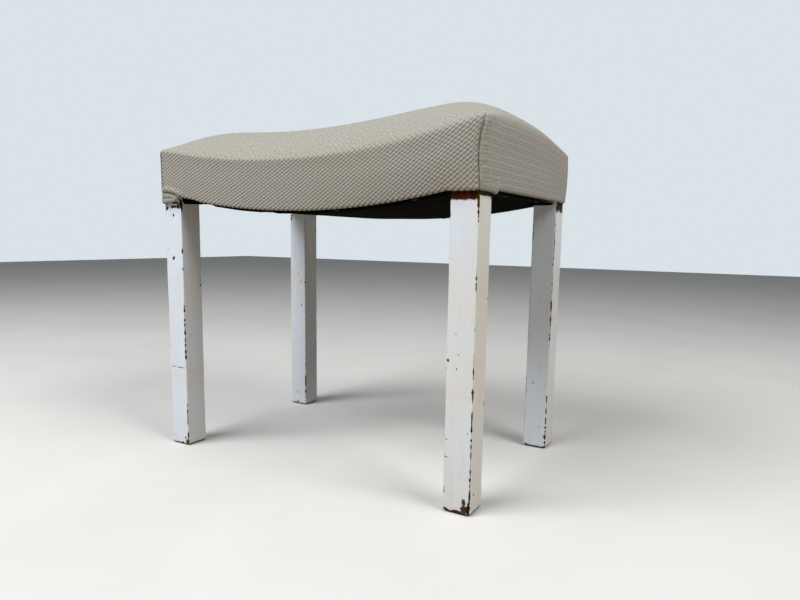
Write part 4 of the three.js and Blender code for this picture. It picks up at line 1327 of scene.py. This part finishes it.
def leg_piece(node):
    """A square leg in worn paint."""
    corner, seed, foot, (on_front, on_side), golden, tarred, grime_and_shade_under_hem = leg_looks[node]
    middle_x, middle_y = corner[0] * leg_from_end, corner[1] * leg_from_side
    mesh, x, y, z, at_top = leg_grid(node + "_painted")
    worn = worn_paint(node, x, y, z, middle_x, middle_y, seed, foot)
    undercoat = np.zeros(len(x))
    on_right = (x > half_leg - 1.0) & (y > -half_leg + 1.2)
    if node == "leg_front_right":
        # Bare under the hem: red-brown in front, grey at the side
        band = np.where(on_right, smooth_step(z, 341, 346), smooth_step(z, 332.5, 345.5))
        worn = np.maximum(worn, band)
        undercoat = on_right & (z > 338)
        plain = (z > 312) & (np.hypot(x - half_leg, y + half_leg) >= 2.4)
        tarred = np.where(plain, 0.0, np.where(z > 312, 0.4, tarred))
        golden = np.where(plain, 0.0, golden)
        # Cool higher up the front, warm lower down: painted light, from the window above and the
        # floor below
        on_front = on_front * (1 - 0.8 * smooth_step(z, 235, 320))
    if node == "leg_front_left":
        undercoat = (z > 334) * smooth_step(x, half_leg - 4.4, half_leg - 3.0) * (
            1 - smooth_step(x, half_leg - 1.2, half_leg - 0.4))
    if node == "leg_back_right":
        worn = np.maximum(worn, on_right * smooth_step(z + 1.5 * np.sin(y * 0.6), 334, 343))
        undercoat = on_right & (z > 330)
    worn = np.where(z > painted_height, 0, worn)
    uneven = 0.25 * value_noise(x + y, z, seed + 40, 33)
    near_arris = np.minimum(half_leg - np.abs(x), half_leg - np.abs(y)) * (z > 0)
    # Dirt at the foot and along the arrises, and under the hem dirt and painted shade
    grime_and_hem_shade = (0.22 * np.exp(-z / 9) + grime_and_shade_under_hem * smooth_step(z, 338, 350)
             + 0.12 * np.exp(-near_arris / 1.2))

    place = eased_post(x, y, z, worn, foot, seed)
    place[:, 2] = np.where(at_top, frame_top, place[:, 2])
    set_places(mesh, (place + (middle_x, middle_y, 0)) * MM)
    # Each face takes its own tint: yellowing, and painted light as each face is lit
    yellowing_and_light_tint = np.where(x > half_leg - 0.5, on_side, on_front) + uneven
    for name, values in (("worn", worn), ("grime_and_hem_shade", grime_and_hem_shade), ("yellowing_and_light_tint", yellowing_and_light_tint),
                         ("undercoat", undercoat), ("tarred", tarred), ("golden", golden)):
        add_mark(mesh, name, np.clip(values, 0, 1))
    finished(node + "_painted", mesh, "leg_paint", [node])


# ---- Lights, floor and background ----
lamps = (
    ("window", (-0.9, -1.8, 2.3), 1.8, 85, (0.985, 0.99, 1.0)),
    ("ceiling", (0.2, 0.0, 2.6), 2.0, 5, (1.0, 1.0, 1.0)),
    ("side", (1.95, -0.4, 2.1), 1.2, 41, (1.0, 0.99, 0.97)))
lit_place = (0, 0, 0.25)


def add_studio():
    world = bpy.data.worlds.new("studio")
    bpy.context.scene.world = world
    world.use_nodes = True
    sky = Shading(world.node_tree)
    room = sky.tree.nodes["Background"]
    sky.feed(room.inputs["Color"], (0.95, 0.975, 1.0))
    sky.feed(room.inputs["Strength"], 0.11)
    backdrop = sky.node("Background", {}, {"Color": (0.70, 0.765, 0.80), "Strength": 1.0})
    shown = sky.node("MixShader", {}, {0: sky.seen(), 1: Tone(sky, room.outputs[0]), 2: backdrop})
    sky.feed(sky.tree.nodes["World Output"].inputs[0], shown)
    for name, place, size, power, colour in lamps:
        data = bpy.data.lights.new(name, "AREA")
        data.size = size
        data.energy = power
        data.color = colour
        lamp = linked(name, data)
        lamp.location = place
        lamp.rotation_mode = "QUATERNION"
        lamp.rotation_quaternion = (Vector(place) - Vector(lit_place)).to_track_quat("Z", "Y")
    shape = bmesh.new()
    bmesh.ops.create_grid(shape, x_segments=1, y_segments=1, size=6)
    floor = linked("floor", mesh_from(shape, "floor"))
    # The camera sees a pale floor; light that it throws back on the stool is as from dull boards
    pale = Finish("pale_floor", Specular_IOR_Level=0.2)
    speck = pale.grain(pale.place(), 3, 3)
    shown = pale.mix(pale.between(speck, 0.3, 0.7), (0.70, 0.69, 0.67), (0.74, 0.73, 0.71))
    floor.data.materials.append(pale.finish_with(
        Base_Color=pale.mix(pale.seen(), (0.30, 0.25, 0.20), shown), Roughness=0.7))


add_camera()
add_studio()
cover_piece()
wadding_piece()
pad_piece()
hessian_piece()
for number, middle in enumerate(cross_strap_middles, start=1):
    cross_strap(number, middle)
long_strap("web_long_front", 1, -long_strap_middle)
long_strap("web_long_back", -1, long_strap_middle)
dust_cover_piece()
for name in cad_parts:
    if name.startswith("dust_tack_"):
        tack_piece(name)
for node in leg_looks:
    leg_piece(node)

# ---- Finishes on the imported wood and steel: along the stool, and across it at the ends ----
packed_finishes = {"rail_": ("frame_wood", "beech_cross"), "dowel_": ("dowel_wood", "birch_cross"),
                   "corner_block": ("frame_wood", "frame_wood"),
                   "block_screw": ("screw_steel", "screw_steel")}
for name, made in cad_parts.items():
    for start, kinds in packed_finishes.items():
        if name.startswith(start):
            made.material_slots[0].material = finishes[kinds["_end" in name]]

bpy.context.scene.view_settings.view_transform = "Standard"
